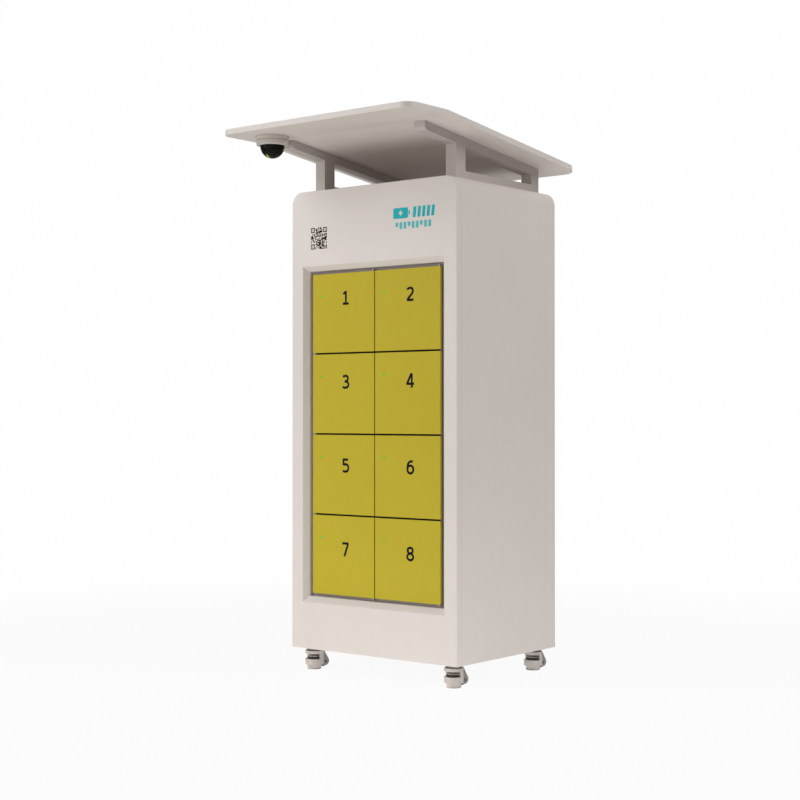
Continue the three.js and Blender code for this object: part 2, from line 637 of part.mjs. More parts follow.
// Thumbwheel nut with six grip notches in the lower part of its rim
function castorThumbwheel(x, y) {
  const notchAt = 26.2;
  let nut = rod(x, y, -42.6, -32.6, 25, 20);
  for (let i = 0; i < 6; i++) {
    const angle = (i / 6) * 2 * Math.PI;
    nut = cut(nut, rod(
      x + notchAt * Math.cos(angle), y + notchAt * Math.sin(angle), -44, -35, 3, 6));
  }
  return cut(nut, rod(x, y, -44, -30, STEM_R + 0.7, 10));
}

// Round pad with a chamfered top, on a stem
function castorFoot(x, y) {
  const padR = 25.5, chamferZ = -68.5;
  return join(
    rod(x, y, -CASTOR_H, chamferZ, padR, 24),
    rod(x, y, chamferZ, -66, padR, 24, padR - 3),
    rod(x, y, -67, -30, STEM_R, 10));
}

for (const [row, y] of [['front', CASTOR_FRONT_Y], ['rear', CASTOR_REAR_Y]]) {
  for (const [hand, x] of [['left', -CASTOR_X], ['right', CASTOR_X]]) {
    const place = `${row}_${hand}`;
    addPiece(`castor_head_${place}`, castorHead(x, y), FINISH.castorHead);
    addPiece(`castor_housing_${place}`, castorHousing(x, y), FINISH.castorHousing);
    addPiece(`castor_wheel_${place}`, castorWheel(x, y), FINISH.wheel);
    addPiece(`castor_thumbwheel_${place}`, castorThumbwheel(x, y), FINISH.thumbwheel);
    addPiece(`castor_foot_${place}`, castorFoot(x, y), FINISH.foot);
  }
}

export default object;
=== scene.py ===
# Battery exchange locker: a cabinet on castors with eight numbered doors in two columns at the
# front, a bent canopy on two brackets, a dome camera under the canopy and a service door behind.
# Lengths are millimetres in a working frame until a piece is placed: x to the right seen from
# the front, y back from the front panel's face, z up from the cabinet's underside.
import json
import math
import random
from collections import namedtuple

import bmesh
import bpy
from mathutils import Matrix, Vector

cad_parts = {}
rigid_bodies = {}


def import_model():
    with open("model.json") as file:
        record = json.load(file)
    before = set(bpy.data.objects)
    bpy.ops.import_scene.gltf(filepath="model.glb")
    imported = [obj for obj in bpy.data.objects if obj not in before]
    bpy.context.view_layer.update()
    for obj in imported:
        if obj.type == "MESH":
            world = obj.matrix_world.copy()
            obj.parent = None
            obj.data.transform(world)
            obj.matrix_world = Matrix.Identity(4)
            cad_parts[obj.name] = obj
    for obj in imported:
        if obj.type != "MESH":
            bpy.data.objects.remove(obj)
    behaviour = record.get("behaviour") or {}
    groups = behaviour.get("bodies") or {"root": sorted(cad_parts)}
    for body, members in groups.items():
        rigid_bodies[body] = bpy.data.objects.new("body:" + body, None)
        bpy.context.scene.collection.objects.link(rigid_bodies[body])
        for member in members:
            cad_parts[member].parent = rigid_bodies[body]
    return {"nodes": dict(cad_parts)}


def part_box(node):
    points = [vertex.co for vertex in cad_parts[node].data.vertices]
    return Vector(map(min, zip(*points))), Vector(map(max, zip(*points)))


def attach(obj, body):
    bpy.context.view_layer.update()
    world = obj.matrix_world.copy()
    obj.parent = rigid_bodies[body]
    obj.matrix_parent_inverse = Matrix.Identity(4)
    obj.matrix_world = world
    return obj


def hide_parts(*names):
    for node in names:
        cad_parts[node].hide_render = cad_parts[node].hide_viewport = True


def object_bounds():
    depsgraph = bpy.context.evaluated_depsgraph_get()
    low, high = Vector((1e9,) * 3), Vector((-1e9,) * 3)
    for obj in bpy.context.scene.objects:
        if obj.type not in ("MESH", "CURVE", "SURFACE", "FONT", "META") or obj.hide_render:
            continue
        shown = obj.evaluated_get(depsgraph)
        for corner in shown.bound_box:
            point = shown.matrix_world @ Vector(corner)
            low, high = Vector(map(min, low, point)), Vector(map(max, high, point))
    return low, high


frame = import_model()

NODES = frame["nodes"]
cad_low, cad_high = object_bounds()

panel_low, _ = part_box("front_panel")
shell_low, shell_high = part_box("cabinet_shell")
ORIGIN_Y, ORIGIN_Z = panel_low.y, shell_low.z
HALF_WIDTH = shell_high.x * 1000.0
HEIGHT = (shell_high.z - shell_low.z) * 1000.0
SCENE_OBJECTS = bpy.context.scene.collection.objects

Box = namedtuple("Box", "x0 x1 y0 y1 z0 z1")


def box_of(node):
    """A CAD node's box in the working frame."""
    low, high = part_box(node)
    return Box(low.x * 1000, high.x * 1000, (low.y - ORIGIN_Y) * 1000, (high.y - ORIGIN_Y) * 1000,
               (low.z - ORIGIN_Z) * 1000, (high.z - ORIGIN_Z) * 1000)


def to_scene(point):
    return Vector((point[0] * 0.001, point[1] * 0.001 + ORIGIN_Y, point[2] * 0.001 + ORIGIN_Z))


BACK_Y = box_of("base_tray").y1 + 3.0            # rear face of the cabinet's back
FRAME_Y = box_of("door_frame").y1 - 3.0          # front face of the door frame plate
CORNER_R = 47.0                                  # upper corners of the cabinet

# ------------------------------------------------------------------ shader helpers


def add_node(tree, kind, inputs=(), **settings):
    """A shader node; inputs maps a socket's name or index to a value or to a socket to link."""
    node = tree.nodes.new("ShaderNode" + kind)
    for key, value in settings.items():
        setattr(node, key, value)
    fill(tree, node, dict(inputs))
    return node


def fill(tree, node, inputs):
    for key, value in inputs.items():
        if isinstance(value, bpy.types.NodeSocket):
            tree.links.new(value, node.inputs[key])
        else:
            node.inputs[key].default_value = value


def srgb(red, green, blue):
    def linear(channel):
        channel /= 255.0
        return channel / 12.92 if channel <= 0.04045 else ((channel + 0.055) / 1.055) ** 2.4
    return (linear(red), linear(green), linear(blue), 1.0)


def tint(colour, factor):
    return tuple(min(1, channel * factor) for channel in colour[:3]) + (1.0,)


class Look:
    """A Principled material whose textures are sampled in object coordinates."""

    def __init__(self, name):
        self.material = bpy.data.materials.new("look_" + name)
        self.material.use_nodes = True
        self.tree = self.material.node_tree
        self.tree.nodes.clear()
        output = self.add("OutputMaterial")
        self.shader = self.add("BsdfPrincipled")
        self.tree.links.new(self.shader.outputs[0], output.inputs["Surface"])
        self.coords = self.add("TexCoord").outputs["Object"]

    def add(self, kind, inputs=(), **settings):
        return add_node(self.tree, kind, inputs, **settings)

    def noise(self, scale, detail=3.0, rough=0.5, distortion=0.0, vector=None):
        return self.add("TexNoise", {
            "Scale": scale, "Detail": detail, "Roughness": rough, "Distortion": distortion,
            "Vector": vector or self.coords}).outputs["Fac"]

    def stretched(self, scale):
        return self.add("Mapping", {"Scale": scale, "Vector": self.coords}).outputs["Vector"]

    def voronoi(self, scale, output="Distance"):
        return self.add("TexVoronoi", {"Scale": scale, "Vector": self.coords}).outputs[output]

    def ramp(self, value, at=(0.3, 0.7), to=(0.0, 1.0)):
        return self.add("MapRange", {
            "From Min": at[0], "From Max": at[1], "To Min": to[0], "To Max": to[1],
            "Value": value}).outputs["Result"]

    def product(self, first, second):
        return self.add("Math", {0: first, 1: second}, operation="MULTIPLY").outputs[0]

    def mix(self, factor, first, second):
        """Blend of two colours; sockets 6 and 7 are the node's colour pair."""
        return self.add("Mix", {0: factor, 6: first, 7: second}, data_type="RGBA").outputs[2]

    def bump(self, height, strength, distance, under=None):
        inputs = {"Strength": strength, "Distance": distance, "Height": height}
        if under is not None:
            inputs["Normal"] = under
        return self.add("Bump", inputs).outputs["Normal"]

    def finish(self, inputs):
        fill(self.tree, self.shader, inputs)
        return self.material

# ------------------------------------------------------------------ material kinds


def powder(name, colour, rough, grain=1500.0, spread=0.02, dust=0.0, spec=0.5):
    """Powder coat: fine orange peel, cloudy colour, wandering roughness, dust low down."""
    look = Look(name)
    base = srgb(*colour)
    cloud = look.noise(scale=2.2, detail=4, rough=0.6)
    fine = look.noise(scale=220.0, rough=0.6)
    paint = look.mix(look.ramp(cloud), tint(base, 1 - spread), tint(base, 1 + spread))
    paint = look.mix(look.ramp(fine, at=(0.35, 0.7), to=(0.0, 0.16)), paint, tint(base, 0.93))
    if dust:
        height = look.add("SeparateXYZ", {0: look.coords}).outputs["Z"]
        low = look.ramp(height, at=(0.08, 0.5), to=(1.0, 0.0))
        grit = look.noise(scale=38.0, detail=6, rough=0.7)
        grit = look.ramp(grit, at=(0.45, 0.75), to=(0.0, dust))
        paint = look.mix(look.product(low, grit), paint, srgb(150, 140, 128))
    smudge = look.noise(scale=9.0, detail=5, rough=0.65, distortion=0.4)
    peel = look.bump(look.noise(scale=grain, detail=2), strength=0.35, distance=0.00006)
    waves = look.noise(scale=26.0, detail=2)
    return look.finish({
        "Base Color": paint,
        "Roughness": look.ramp(smudge, at=(0.3, 0.75), to=(rough - 0.05, rough + 0.07)),
        "Specular IOR Level": spec,
        "Normal": look.bump(waves, strength=0.05, distance=0.0006, under=peel),
        "Coat Roughness": 0.2})


def galvanised(name, colour, rough):
    """Zinc coating with spangles of differing brightness."""
    look = Look(name)
    spangle = look.add("RGBToBW", {0: look.voronoi(scale=90.0, output="Color")}).outputs[0]
    skin = look.noise(scale=700.0, rough=0.6)
    return look.finish({
        "Base Color": look.mix(spangle, tint(colour, 0.82), tint(colour, 1.14)),
        "Roughness": look.ramp(spangle, at=(0.0, 1.0), to=(rough - 0.08, rough + 0.12)),
        "Metallic": 0.9,
        "Normal": look.bump(skin, strength=0.2, distance=0.00005)})


def steel(name, colour, rough, stretch=(900, 900, 6)):
    """Turned or drawn steel with fine lines along the least stretched axis."""
    look = Look(name)
    lines = look.noise(scale=1.0, rough=0.6, vector=look.stretched(stretch))
    patches = look.noise(scale=60.0, detail=4, rough=0.6)
    return look.finish({
        "Base Color": look.mix(look.ramp(lines), tint(colour, 0.85), tint(colour, 1.12)),
        "Roughness": look.ramp(patches, to=(rough - 0.06, rough + 0.12)),
        "Metallic": 1.0,
        "Normal": look.bump(lines, strength=0.12, distance=0.00003)})


def cast(name, colour, rough=0.5, metal=0.25):
    """Painted die casting: pebbled skin with darker hollows."""
    look = Look(name)
    base = srgb(*colour)
    pebbles = look.noise(scale=420.0, detail=4, rough=0.6)
    paint = look.mix(look.ramp(pebbles, at=(0.35, 0.65)), tint(base, 0.9), tint(base, 1.05))
    hollows = look.noise(scale=30.0, detail=5, rough=0.6)
    paint = look.mix(look.ramp(hollows, at=(0.5, 0.8), to=(0.0, 0.22)), paint, tint(base, 0.72))
    return look.finish({
        "Base Color": paint,
        "Roughness": look.ramp(pebbles, to=(rough - 0.07, rough + 0.1)),
        "Metallic": metal,
        "Normal": look.bump(pebbles, strength=0.25, distance=0.00012)})


def plastic(name, colour, rough=0.45, grain=900.0, relief=0.2, spec=0.5):
    """Moulded plastic with a fine cellular texture."""
    look = Look(name)
    base = srgb(*colour)
    cells = look.voronoi(scale=grain)
    cloud = look.ramp(look.noise(scale=14.0, detail=4, rough=0.6))
    patches = look.noise(scale=70.0, detail=4, rough=0.6)
    return look.finish({
        "Base Color": look.mix(cloud, tint(base, 0.9), tint(base, 1.1)),
        "Roughness": look.ramp(patches, to=(rough - 0.06, rough + 0.08)),
        "Normal": look.bump(cells, strength=relief, distance=0.00006),
        "Specular IOR Level": spec,
        "Coat Roughness": 0.08})


def rubber(name, colour):
    look = Look(name)
    base = srgb(*colour)
    blotches = look.ramp(look.noise(scale=55.0, detail=6, rough=0.7), at=(0.35, 0.7))
    patches = look.noise(scale=120.0, detail=4, rough=0.6)
    skin = look.noise(scale=900.0, detail=4, rough=0.7)
    return look.finish({
        "Base Color": look.mix(blotches, tint(base, 0.82), tint(base, 1.1)),
        "Roughness": look.ramp(patches, to=(0.62, 0.85)),
        "Normal": look.bump(skin, strength=0.4, distance=0.0001)})


def smoked_dome():
    look = Look("smoked_dome")
    haze = look.noise(scale=18.0, detail=4, rough=0.6)
    ripple = look.noise(scale=9.0, detail=1, rough=0.4)
    return look.finish({
        "Base Color": look.mix(look.ramp(haze), srgb(22, 23, 20), srgb(31, 32, 28)),
        "Roughness": look.ramp(haze, at=(0.3, 0.75), to=(0.16, 0.26)),
        "Specular IOR Level": 0.05,
        "Normal": look.bump(ripple, strength=0.02, distance=0.001)})


def led_lens():
    look = Look("led_lens")
    cells = look.voronoi(scale=900.0)
    green = look.mix(look.ramp(cells, at=(0.0, 0.5)), srgb(104, 204, 72), srgb(88, 188, 60))
    return look.finish({
        "Base Color": green,
        "Roughness": look.ramp(cells, at=(0.0, 0.6), to=(0.12, 0.3)),
        "Emission Color": green,
        "Emission Strength": 0.25,
        "Coat Weight": 0.5})


BODY_PAINT = powder("cabinet_powder_coat", (227, 218, 212), rough=0.47, dust=0.04)
ROOF_PAINT = powder("canopy_powder_coat", (226, 217, 211), rough=0.47)
# the brackets take a darker copy of the cabinet's powder coat: painted shade for the shadow under the
# canopy
BRACKET_SHADED_PAINT = powder("bracket_powder_coat_painted_shade", (194, 185, 180), rough=0.47)
DOOR_PAINT = powder("door_powder_coat", (195, 177, 51), rough=0.5, grain=1300, spread=0.012,
                    spec=0.1)
FRAME_PAINT = powder("frame_grey_paint", (158, 148, 145), rough=0.5)
GALVANISED = galvanised("galvanised_sheet", (0.55, 0.56, 0.57), rough=0.36)
DOOR_INSIDE = powder("door_inside_coat", (176, 160, 60), rough=0.5, grain=1300)
ZINC_STEEL = steel("zinc_plated_steel", (0.5, 0.49, 0.47), rough=0.3)
PIN_STEEL = steel("pin_steel", (0.42, 0.42, 0.42), rough=0.25)
CASTING = cast("castor_casting", (206, 197, 191))
# the cheeks take a darker copy of the castor casting: painted shade on the castor's shaded side
CHEEK_CASTING_SHADED = cast("castor_cheek_casting_painted_shade", (156, 147, 141))
HEAD_STEEL = cast("castor_head_steel", (120, 116, 112), rough=0.42, metal=0.6)
TREAD = rubber("castor_tread", (92, 90, 88))
HUB = plastic("castor_hub", (120, 118, 115), rough=0.4)
THUMB_NYLON = plastic("thumbwheel_nylon", (44, 40, 38), rough=0.5, grain=700)
# pale cap, brightened past its own tone: painted light where the slot lies in shade
THUMB_CAP_PAINTED_LIGHT = plastic("thumbwheel_cap_painted_light", (224, 218, 212), rough=0.42, grain=700)
PAD_RUBBER = rubber("foot_pad_rubber", (220, 209, 202))
CAMERA_SHELL = plastic("camera_shell", (206, 201, 196), rough=0.38, grain=1400, relief=0.12)
BLACK = plastic("black_moulding", (30, 31, 33), rough=0.48, grain=800, relief=0.25)
UNIT_CASING = steel("unit_casing", (0.36, 0.37, 0.38), rough=0.42, stretch=(6, 900, 900))
LOCK_PAINT = powder("lock_black_paint", (48, 48, 50), rough=0.45)
HANDLE_BLACK = cast("handle_black", (36, 36, 37), rough=0.4, metal=0.1)
FOAM = rubber("seal_foam", (26, 26, 27))
# near-black, matt and almost without shine: painted shade for the gaps between the doors
GAP_SHADE_BLACK = plastic("gap_painted_shade", (11, 11, 12), rough=0.8, grain=500, relief=0.1, spec=0.04)
# a joint gasket whose brown tint also paints the shadow line in the seam between base and cover
GASKET_SHADE_TINT = rubber("camera_gasket_shade_tint", (178, 140, 102))
BEZEL = plastic("lamp_bezel", (92, 196, 68), rough=0.4, grain=600, relief=0.05)
# yellow-green streak on the dome: painted glint
GLINT_PAINT = plastic("dome_painted_glint", (176, 180, 62), rough=0.3, grain=600, relief=0.05)
PRINT = dict(rough=0.6, grain=500, relief=0.05)  # printed film, shared by the inks
NUMBER_INK = plastic("number_ink", (24, 22, 30), spec=0.08, **PRINT)
CODE_INK = plastic("code_ink", (30, 26, 24), spec=0.1, **PRINT)
TEAL = plastic("teal_ink", (44, 182, 188), spec=0.1, **PRINT)
TEAL_LIGHT = plastic("teal_ink_light", (92, 196, 198), spec=0.1, **PRINT)
CABLE_BLACK = plastic("cable_sheath", (24, 24, 26), rough=0.42, grain=600, relief=0.1)
CABLE_RED = plastic("cable_red", (150, 30, 26), rough=0.4, grain=600, relief=0.1)
SMOKED = smoked_dome()
LED = led_lens()

# ------------------------------------------------------------------ objects


def new_object(mesh, *materials):
    obj = bpy.data.objects.new("part", mesh)
    SCENE_OBJECTS.link(obj)
    for material in materials:
        mesh.materials.append(material)
    return obj


def mesh_object(bm, mat=None):
    """An object, still in working millimetres, from a bmesh; cutters need no material."""
    bmesh.ops.recalc_face_normals(bm, faces=bm.faces)
    mesh = bpy.data.meshes.new("part")
    bm.to_mesh(mesh)
    bm.free()
    return new_object(mesh, *([mat] if mat else []))


def discard(obj):
    mesh = obj.data
    bpy.data.objects.remove(obj)
    bpy.data.meshes.remove(mesh)


def bake(obj):
    """Applies the object's modifiers."""
    depsgraph = bpy.context.evaluated_depsgraph_get()
    depsgraph.update()
    mesh = bpy.data.meshes.new_from_object(obj.evaluated_get(depsgraph), depsgraph=depsgraph)
    old = obj.data
    obj.modifiers.clear()
    obj.data = mesh
    bpy.data.meshes.remove(old)


def boolean(obj, other, operation, materials="INDEX"):
    modifier = obj.modifiers.new("boolean", "BOOLEAN")
    modifier.object = other
    modifier.operation = operation
    modifier.solver = "EXACT"
    modifier.material_mode = materials
    bake(obj)
    discard(other)
    return obj


def cut(obj, cutter):
    return boolean(obj, cutter, "DIFFERENCE")


def join(obj, other, materials="INDEX"):
    return boolean(obj, other, "UNION", materials)


def merged(objs):
    """Several objects' meshes in one, each a closed piece of its own."""
    bm = bmesh.new()
    materials = []
    for obj in objs:
        first = len(bm.faces)
        bm.from_mesh(obj.data)
        bm.faces.ensure_lookup_table()
        material = obj.data.materials[0]
        if material not in materials:
            materials.append(material)
        for face in bm.faces[first:]:
            face.material_index = materials.index(material)
    mesh = bpy.data.meshes.new("part")
    bm.to_mesh(mesh)
    bm.free()
    for obj in objs:
        discard(obj)
    return new_object(mesh, *materials)


def smooth(mesh):
    mesh.polygons.foreach_set("use_smooth", [True] * len(mesh.polygons))


def edge_bevel(obj, width, segments, angle):
    modifier = obj.modifiers.new("edge", "BEVEL")
    modifier.width = width * 0.001
    modifier.segments = segments
    modifier.limit_method = "ANGLE"
    modifier.angle_limit = math.radians(angle)
    modifier.use_clamp_overlap = True
    return modifier


def weight_normals(obj):
    obj.modifiers.new("normals", "WEIGHTED_NORMAL").keep_sharp = True


def place(obj, name, body, *replaced, angle=32.0, bevel=0.0, segments=3, weighted=True):
    """Names a piece, moves it to the scene's frame, shades it and gives it to its body."""
    obj.name = name
    for vertex in obj.data.vertices:
        vertex.co = to_scene(vertex.co)
    smooth(obj.data)
    if bevel:
        edge_bevel(obj, bevel, segments, angle).miter_outer = "MITER_ARC"
        bake(obj)
        smooth(obj.data)
    mesh = obj.data
    mesh.name = name
    mesh.set_sharp_from_angle(angle=math.radians(angle + 12))
    if weighted:
        weight_normals(obj)
    mesh.update()
    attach(obj, body)
    if replaced:
        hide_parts(*replaced)
    return obj


def place_detail(obj, name, body, *replaced, angle):
    """Places a piece that keeps its plain normals."""
    return place(obj, name, body, *replaced, angle=angle, weighted=False)

# ------------------------------------------------------------------ outlines and solids

# (inset, depth) round a quarter-circle edge, as shares of its radius
FILLET = ((1.0, 0.0), (0.62, 0.07), (0.29, 0.29), (0.07, 0.62), (0.0, 1.0))


def at_x(points, x):
    return [(x, first, second) for first, second in points]


def at_y(points, y):
    return [(first, y, second) for first, second in points]


def at_z(points, z):
    return [(first, second, z) for first, second in points]


def arc(centre, radius, start, sweep, steps):
    """Points on a circle, angles in degrees, both ends included."""
    angles = [math.radians(start + sweep * i / steps) for i in range(steps + 1)]
    return [(centre[0] + radius * math.cos(a), centre[1] + radius * math.sin(a)) for a in angles]


def rounded_rect(x0, x1, z0, z1, radius, steps=6):
    """Anticlockwise from the lower right; a list gives each corner's radius in that order."""
    radii = radius if isinstance(radius, list) else [radius] * 4
    points = []
    for x, z, bend, start in zip((x1, x1, x0, x0), (z0, z1, z1, z0), radii, (-90, 0, 90, 180)):
        centre = (x - bend if x == x1 else x + bend, z + bend if z == z0 else z - bend)
        points += arc(centre, bend, start, 90.0, steps)
    return points


def inset(points, distance):
    """A closed anticlockwise polygon moved in, corner by corner."""
    out = []
    for i, point in enumerate(points):
        here = Vector(point)
        before = here - Vector(points[i - 1])
        after = Vector(points[(i + 1) % len(points)]) - here
        if before.length < 1e-6 or after.length < 1e-6:
            out.append(tuple(here))
            continue
        before.normalize()
        after.normalize()
        normal_a, normal_b = Vector((-before.y, before.x)), Vector((-after.y, after.x))
        spread = 1.0 + normal_a.dot(normal_b)
        out.append(tuple(here + (normal_a + normal_b) * (distance / max(spread, 0.35))))
    return out


def signed_area(points):
    return 0.5 * sum(a[0] * b[1] - b[0] * a[1] for a, b in zip(points, points[1:] + points[:1]))


def loft(bm, loops, closed=False, caps=True):
    """Skins loops of equal count; closed joins the last to the first."""
    rings = [[bm.verts.new(point) for point in loop] for loop in loops]
    pairs = list(zip(rings, rings[1:]))
    if closed:
        pairs.append((rings[-1], rings[0]))
    count = len(rings[0])
    for a, b in pairs:
        for i in range(count):
            j = (i + 1) % count
            bm.faces.new((a[i], a[j], b[j], b[i]))
    if caps and not closed:
        bm.faces.new(rings[0][::-1])
        bm.faces.new(rings[-1])
    return rings


def solid(mat, *lofts, closed=False):
    """One object from one or more lists of loops."""
    bm = bmesh.new()
    for loops in lofts:
        loft(bm, loops, closed)
    return mesh_object(bm, mat)


def prism(points, lift, start, end, mat=None, fillet=0.0):
    """Solid between start and end along the lift axis, its end edges rounded."""
    points = list(points)
    if signed_area(points) < 0:
        points.reverse()
    if not fillet:
        return solid(mat, [lift(points, start), lift(points, end)])
    sign = 1 if end > start else -1
    loops = [lift(inset(points, i * fillet), start + sign * d * fillet) for i, d in FILLET]
    loops += [lift(inset(points, i * fillet), end - sign * d * fillet)
              for i, d in reversed(FILLET)]
    return solid(mat, loops)


def block(x0, x1, y0, y1, z0, z1, mat=None, fillet=0.0, corner=2.0, lift=at_y):
    """A box extruded along x or y, its four long edges rounded by corner."""
    if lift is at_y:
        return prism(rounded_rect(x0, x1, z0, z1, corner, 4), at_y, y0, y1, mat, fillet)
    return prism(rounded_rect(y0, y1, z0, z1, corner, 4), at_x, x0, x1, mat, fillet)


def ring(lift, centre, radius, height, count):
    return lift(arc(centre, radius, 0, 360, count)[:-1], height)


def turned(lift, centre, profile, mat=None, count=64, closed=False):
    """Solid of revolution; profile is (radius, position along the lift axis) pairs."""
    return solid(mat, [ring(lift, centre, r, h, count) for r, h in profile], closed=closed)


def drum(lift, centre, radius, start, end, count, mat=None):
    return turned(lift, centre, [(radius, start), (radius, end)], mat, count)


def collar(lift, centre, inner, outer, start, end, count, mat):
    profile = [(inner, start), (outer, start), (outer, end), (inner, end)]
    return turned(lift, centre, profile, mat, count, closed=True)


def shifted(profile, base, sign=1):
    return [(radius, base + sign * offset) for radius, offset in profile]


def rounded_profile(profile, radius):
    """Cuts the corners of an open profile with small arcs."""
    out = [profile[0]]
    for before, corner, after in zip(profile, profile[1:], profile[2:]):
        here = Vector(corner)
        back, ahead = Vector(before) - here, Vector(after) - here
        reach = min(radius, back.length * 0.45, ahead.length * 0.45)
        back.normalize()
        ahead.normalize()
        for t in (0.0, 0.3, 0.5, 0.7, 1.0):
            point = ((here + back * reach) * (1 - t) ** 2 + here * 2 * t * (1 - t)
                     + (here + ahead * reach) * t ** 2)
            out.append((point.x, point.y))
    out.append(profile[-1])
    return out


def bolt_head(lift, centre, seat, crown, radius, mat):
    """Round-head machine screw with a hexagonal recess."""
    count = 48
    rise = crown - seat

    def hexagon(size, height):
        points = []
        for i in range(count):
            a = 2 * math.pi * i / count
            reach = size * math.cos(math.pi / 6) / math.cos(a % (math.pi / 3) - math.pi / 6)
            points.append((centre[0] + reach * math.cos(a), centre[1] + reach * math.sin(a)))
        return lift(points, height)

    dome = ((1.0, 0.0), (1.0, 0.35), (0.93, 0.68), (0.76, 0.9), (0.56, 1.0))  # (radius, rise)
    loops = [ring(lift, centre, radius * r, seat + h * rise, count) for r, h in dome]
    loops += [hexagon(radius * 0.44, crown), hexagon(radius * 0.42, seat + 0.3 * rise)]
    return solid(mat, loops)


def hinge_pin(centre, start, end, radius, chamfer, count):
    tip = end - math.copysign(chamfer, end - start)
    profile = [(radius, start), (radius, tip), (radius - chamfer, end)]
    return turned(at_z, centre, profile, PIN_STEEL, count)


def door_pan(rim, corner, pocket, pocket_corner, face, back, fillet, sheet, mat):
    """A door pressing: rounded face edges and a pocket let in from the back to the sheet.

    rim and pocket are (x0, x1, z0, z1).
    """
    sign = 1 if back > face else -1

    def outline(rect, t, radius):
        x0, x1, z0, z1 = rect
        return rounded_rect(x0 + t, x1 - t, z0 + t, z1 - t, radius, 5)

    def edge(t, y):
        return at_y(outline(rim, t, max(corner - t, 0.35)), y)

    def well(t, y):
        return at_y(outline(pocket, t, pocket_corner), y)

    loops = [edge(i * fillet, face + sign * d * fillet) for i, d in FILLET]
    loops += [edge(t, back - sign * d) for t, d in ((0.0, 0.5), (0.15, 0.15), (0.5, 0.0))]
    loops += [well(-0.2, back), well(0.0, back - sign * 0.3),
              well(0.0, face + sign * (sheet + 0.7)), well(0.7, face + sign * sheet)]
    return solid(mat, loops)

# ------------------------------------------------------------------ front panel


# half width, bottom and top of the bay at the panel's face and at the foot of its bevel
BAY_FACE = (323.5, 168.0, 1382.0)
BAY_FOOT = (305.0, 189.0, 1364.0)
# (share of the way down the bevel, y, corner radius), from the back round the lip to the face
BAY_SECTION = [
    (-0.06, 2.05, 1.0), (0.914, 21.0, 1.0), (0.914, FRAME_Y - 0.3, 1.0), (1.0, FRAME_Y - 0.3, 2.2),
    (1.0, 21.6, 2.2), (0.993, 20.7, 2.2), (0.97, 19.6, 2.2), (0.94, 18.8, 2.2),
    (0.085, 1.75, 2.2), (0.045, 1.0, 2.2), (0.0, 0.42, 2.2), (-0.05, 0.1, 2.2), (-0.11, 0.0, 2.2),
]
PANEL_FILLET = 2.2
# (inset from the cabinet's outline, y), from the side round the back edge to the inside
RIM_SECTION = [(0.0, 26.4), (0.18, 26.85), (0.6, 27.0), (2.0, 27.0), (2.0, 2.6), (2.6, 2.05)]
CORNER_STEPS = 14


def bay_outline(t, radius):
    half, low, high = [a + (b - a) * t for a, b in zip(BAY_FACE, BAY_FOOT)]
    return rounded_rect(-half, half, low, high, radius, CORNER_STEPS)


def cabinet_outline(t):
    upper, lower = CORNER_R - t, max(1.2 - t, 0.3)
    return rounded_rect(-HALF_WIDTH + t, HALF_WIDTH - t, t, HEIGHT - t,
                        [lower, upper, upper, lower], CORNER_STEPS)


loops = [at_y(bay_outline(t, radius), y) for t, y, radius in BAY_SECTION]
loops += [at_y(cabinet_outline(i * PANEL_FILLET), d * PANEL_FILLET) for i, d in FILLET]
loops += [at_y(cabinet_outline(t), y) for t, y in RIM_SECTION]
place(solid(BODY_PAINT, loops, closed=True), "front_panel_pressing", "cabinet", "front_panel",
      angle=30)

# ------------------------------------------------------------------ cabinet wrap
WRAP_Y = box_of("cabinet_shell").y0
SHEET = 2.0
OPEN_X, OPEN_Z0, OPEN_Z1 = 326.0, 64.0, 1566.0   # rear opening: half width, bottom and top


def arch(t, low):
    """The wrap's section: up one side, over the top and down the other."""
    side, radius = HALF_WIDTH - t, CORNER_R - t
    height = HEIGHT - t - radius
    return ([(side, low)] + arc((side - radius, height), radius, 0, 90, CORNER_STEPS)
            + arc((-side + radius, height), radius, 90, 90, CORNER_STEPS) + [(-side, low)])


outer, inner = arch(0.0, 0.0), arch(SHEET, -1.0)
wrap = solid(BODY_PAINT, [at_y(outer, WRAP_Y), at_y(outer, BACK_Y)])
cut(wrap, solid(None, [at_y(inner, WRAP_Y - 5), at_y(inner, BACK_Y - SHEET)]))
cut(wrap, prism(rounded_rect(-OPEN_X, OPEN_X, OPEN_Z0, OPEN_Z1, 4.0), at_y,
                BACK_Y - 10, BACK_Y + 10))
place(wrap, "cabinet_wrap", "cabinet", "cabinet_shell", angle=30, bevel=0.7)

REAR = box_of("rear_door")
REAR_PIVOT = (REAR.x1 - 7.0, (REAR.y0 + REAR.y1) / 2)
EAR_HALF = 6.0
for tag, bottom, top in (("top", 1583.3, 1587.3), ("low", 42.7, 46.7)):
    x = REAR_PIVOT[0]
    outline = [(x - EAR_HALF, BACK_Y + 0.05), (x + EAR_HALF, BACK_Y + 0.05),
               (x + EAR_HALF, REAR.y1 - 5)]
    outline += arc((x, REAR.y1 - 6), EAR_HALF, 0, 180, 12)[1:-1] + [(x - EAR_HALF, REAR.y1 - 5)]
    ear = prism(outline, at_z, bottom, top, ZINC_STEEL, 0.4)
    cut(ear, drum(at_z, REAR_PIVOT, 3.3, bottom - 1, top + 1, 32))
    place(ear, "rear_hinge_ear_" + tag, "cabinet")

# ------------------------------------------------------------------ doors
Door = namedtuple("Door", "number column row x0 x1 z0 z1 mid_z lamp")
GAP_HALF = 2.05                                  # how far a CAD door box passes its door in z


def measured_door(number):
    box, lamp = box_of("door_%d" % number), box_of("status_led_%d" % number)
    low, high = box.z0 + GAP_HALF, box.z1 - GAP_HALF
    return Door(number, (number - 1) % 2, (number - 1) // 2, box.x0, box.x1, low, high,
                (low + high) / 2, ((lamp.x0 + lamp.x1) / 2, (lamp.z0 + lamp.z1) / 2))


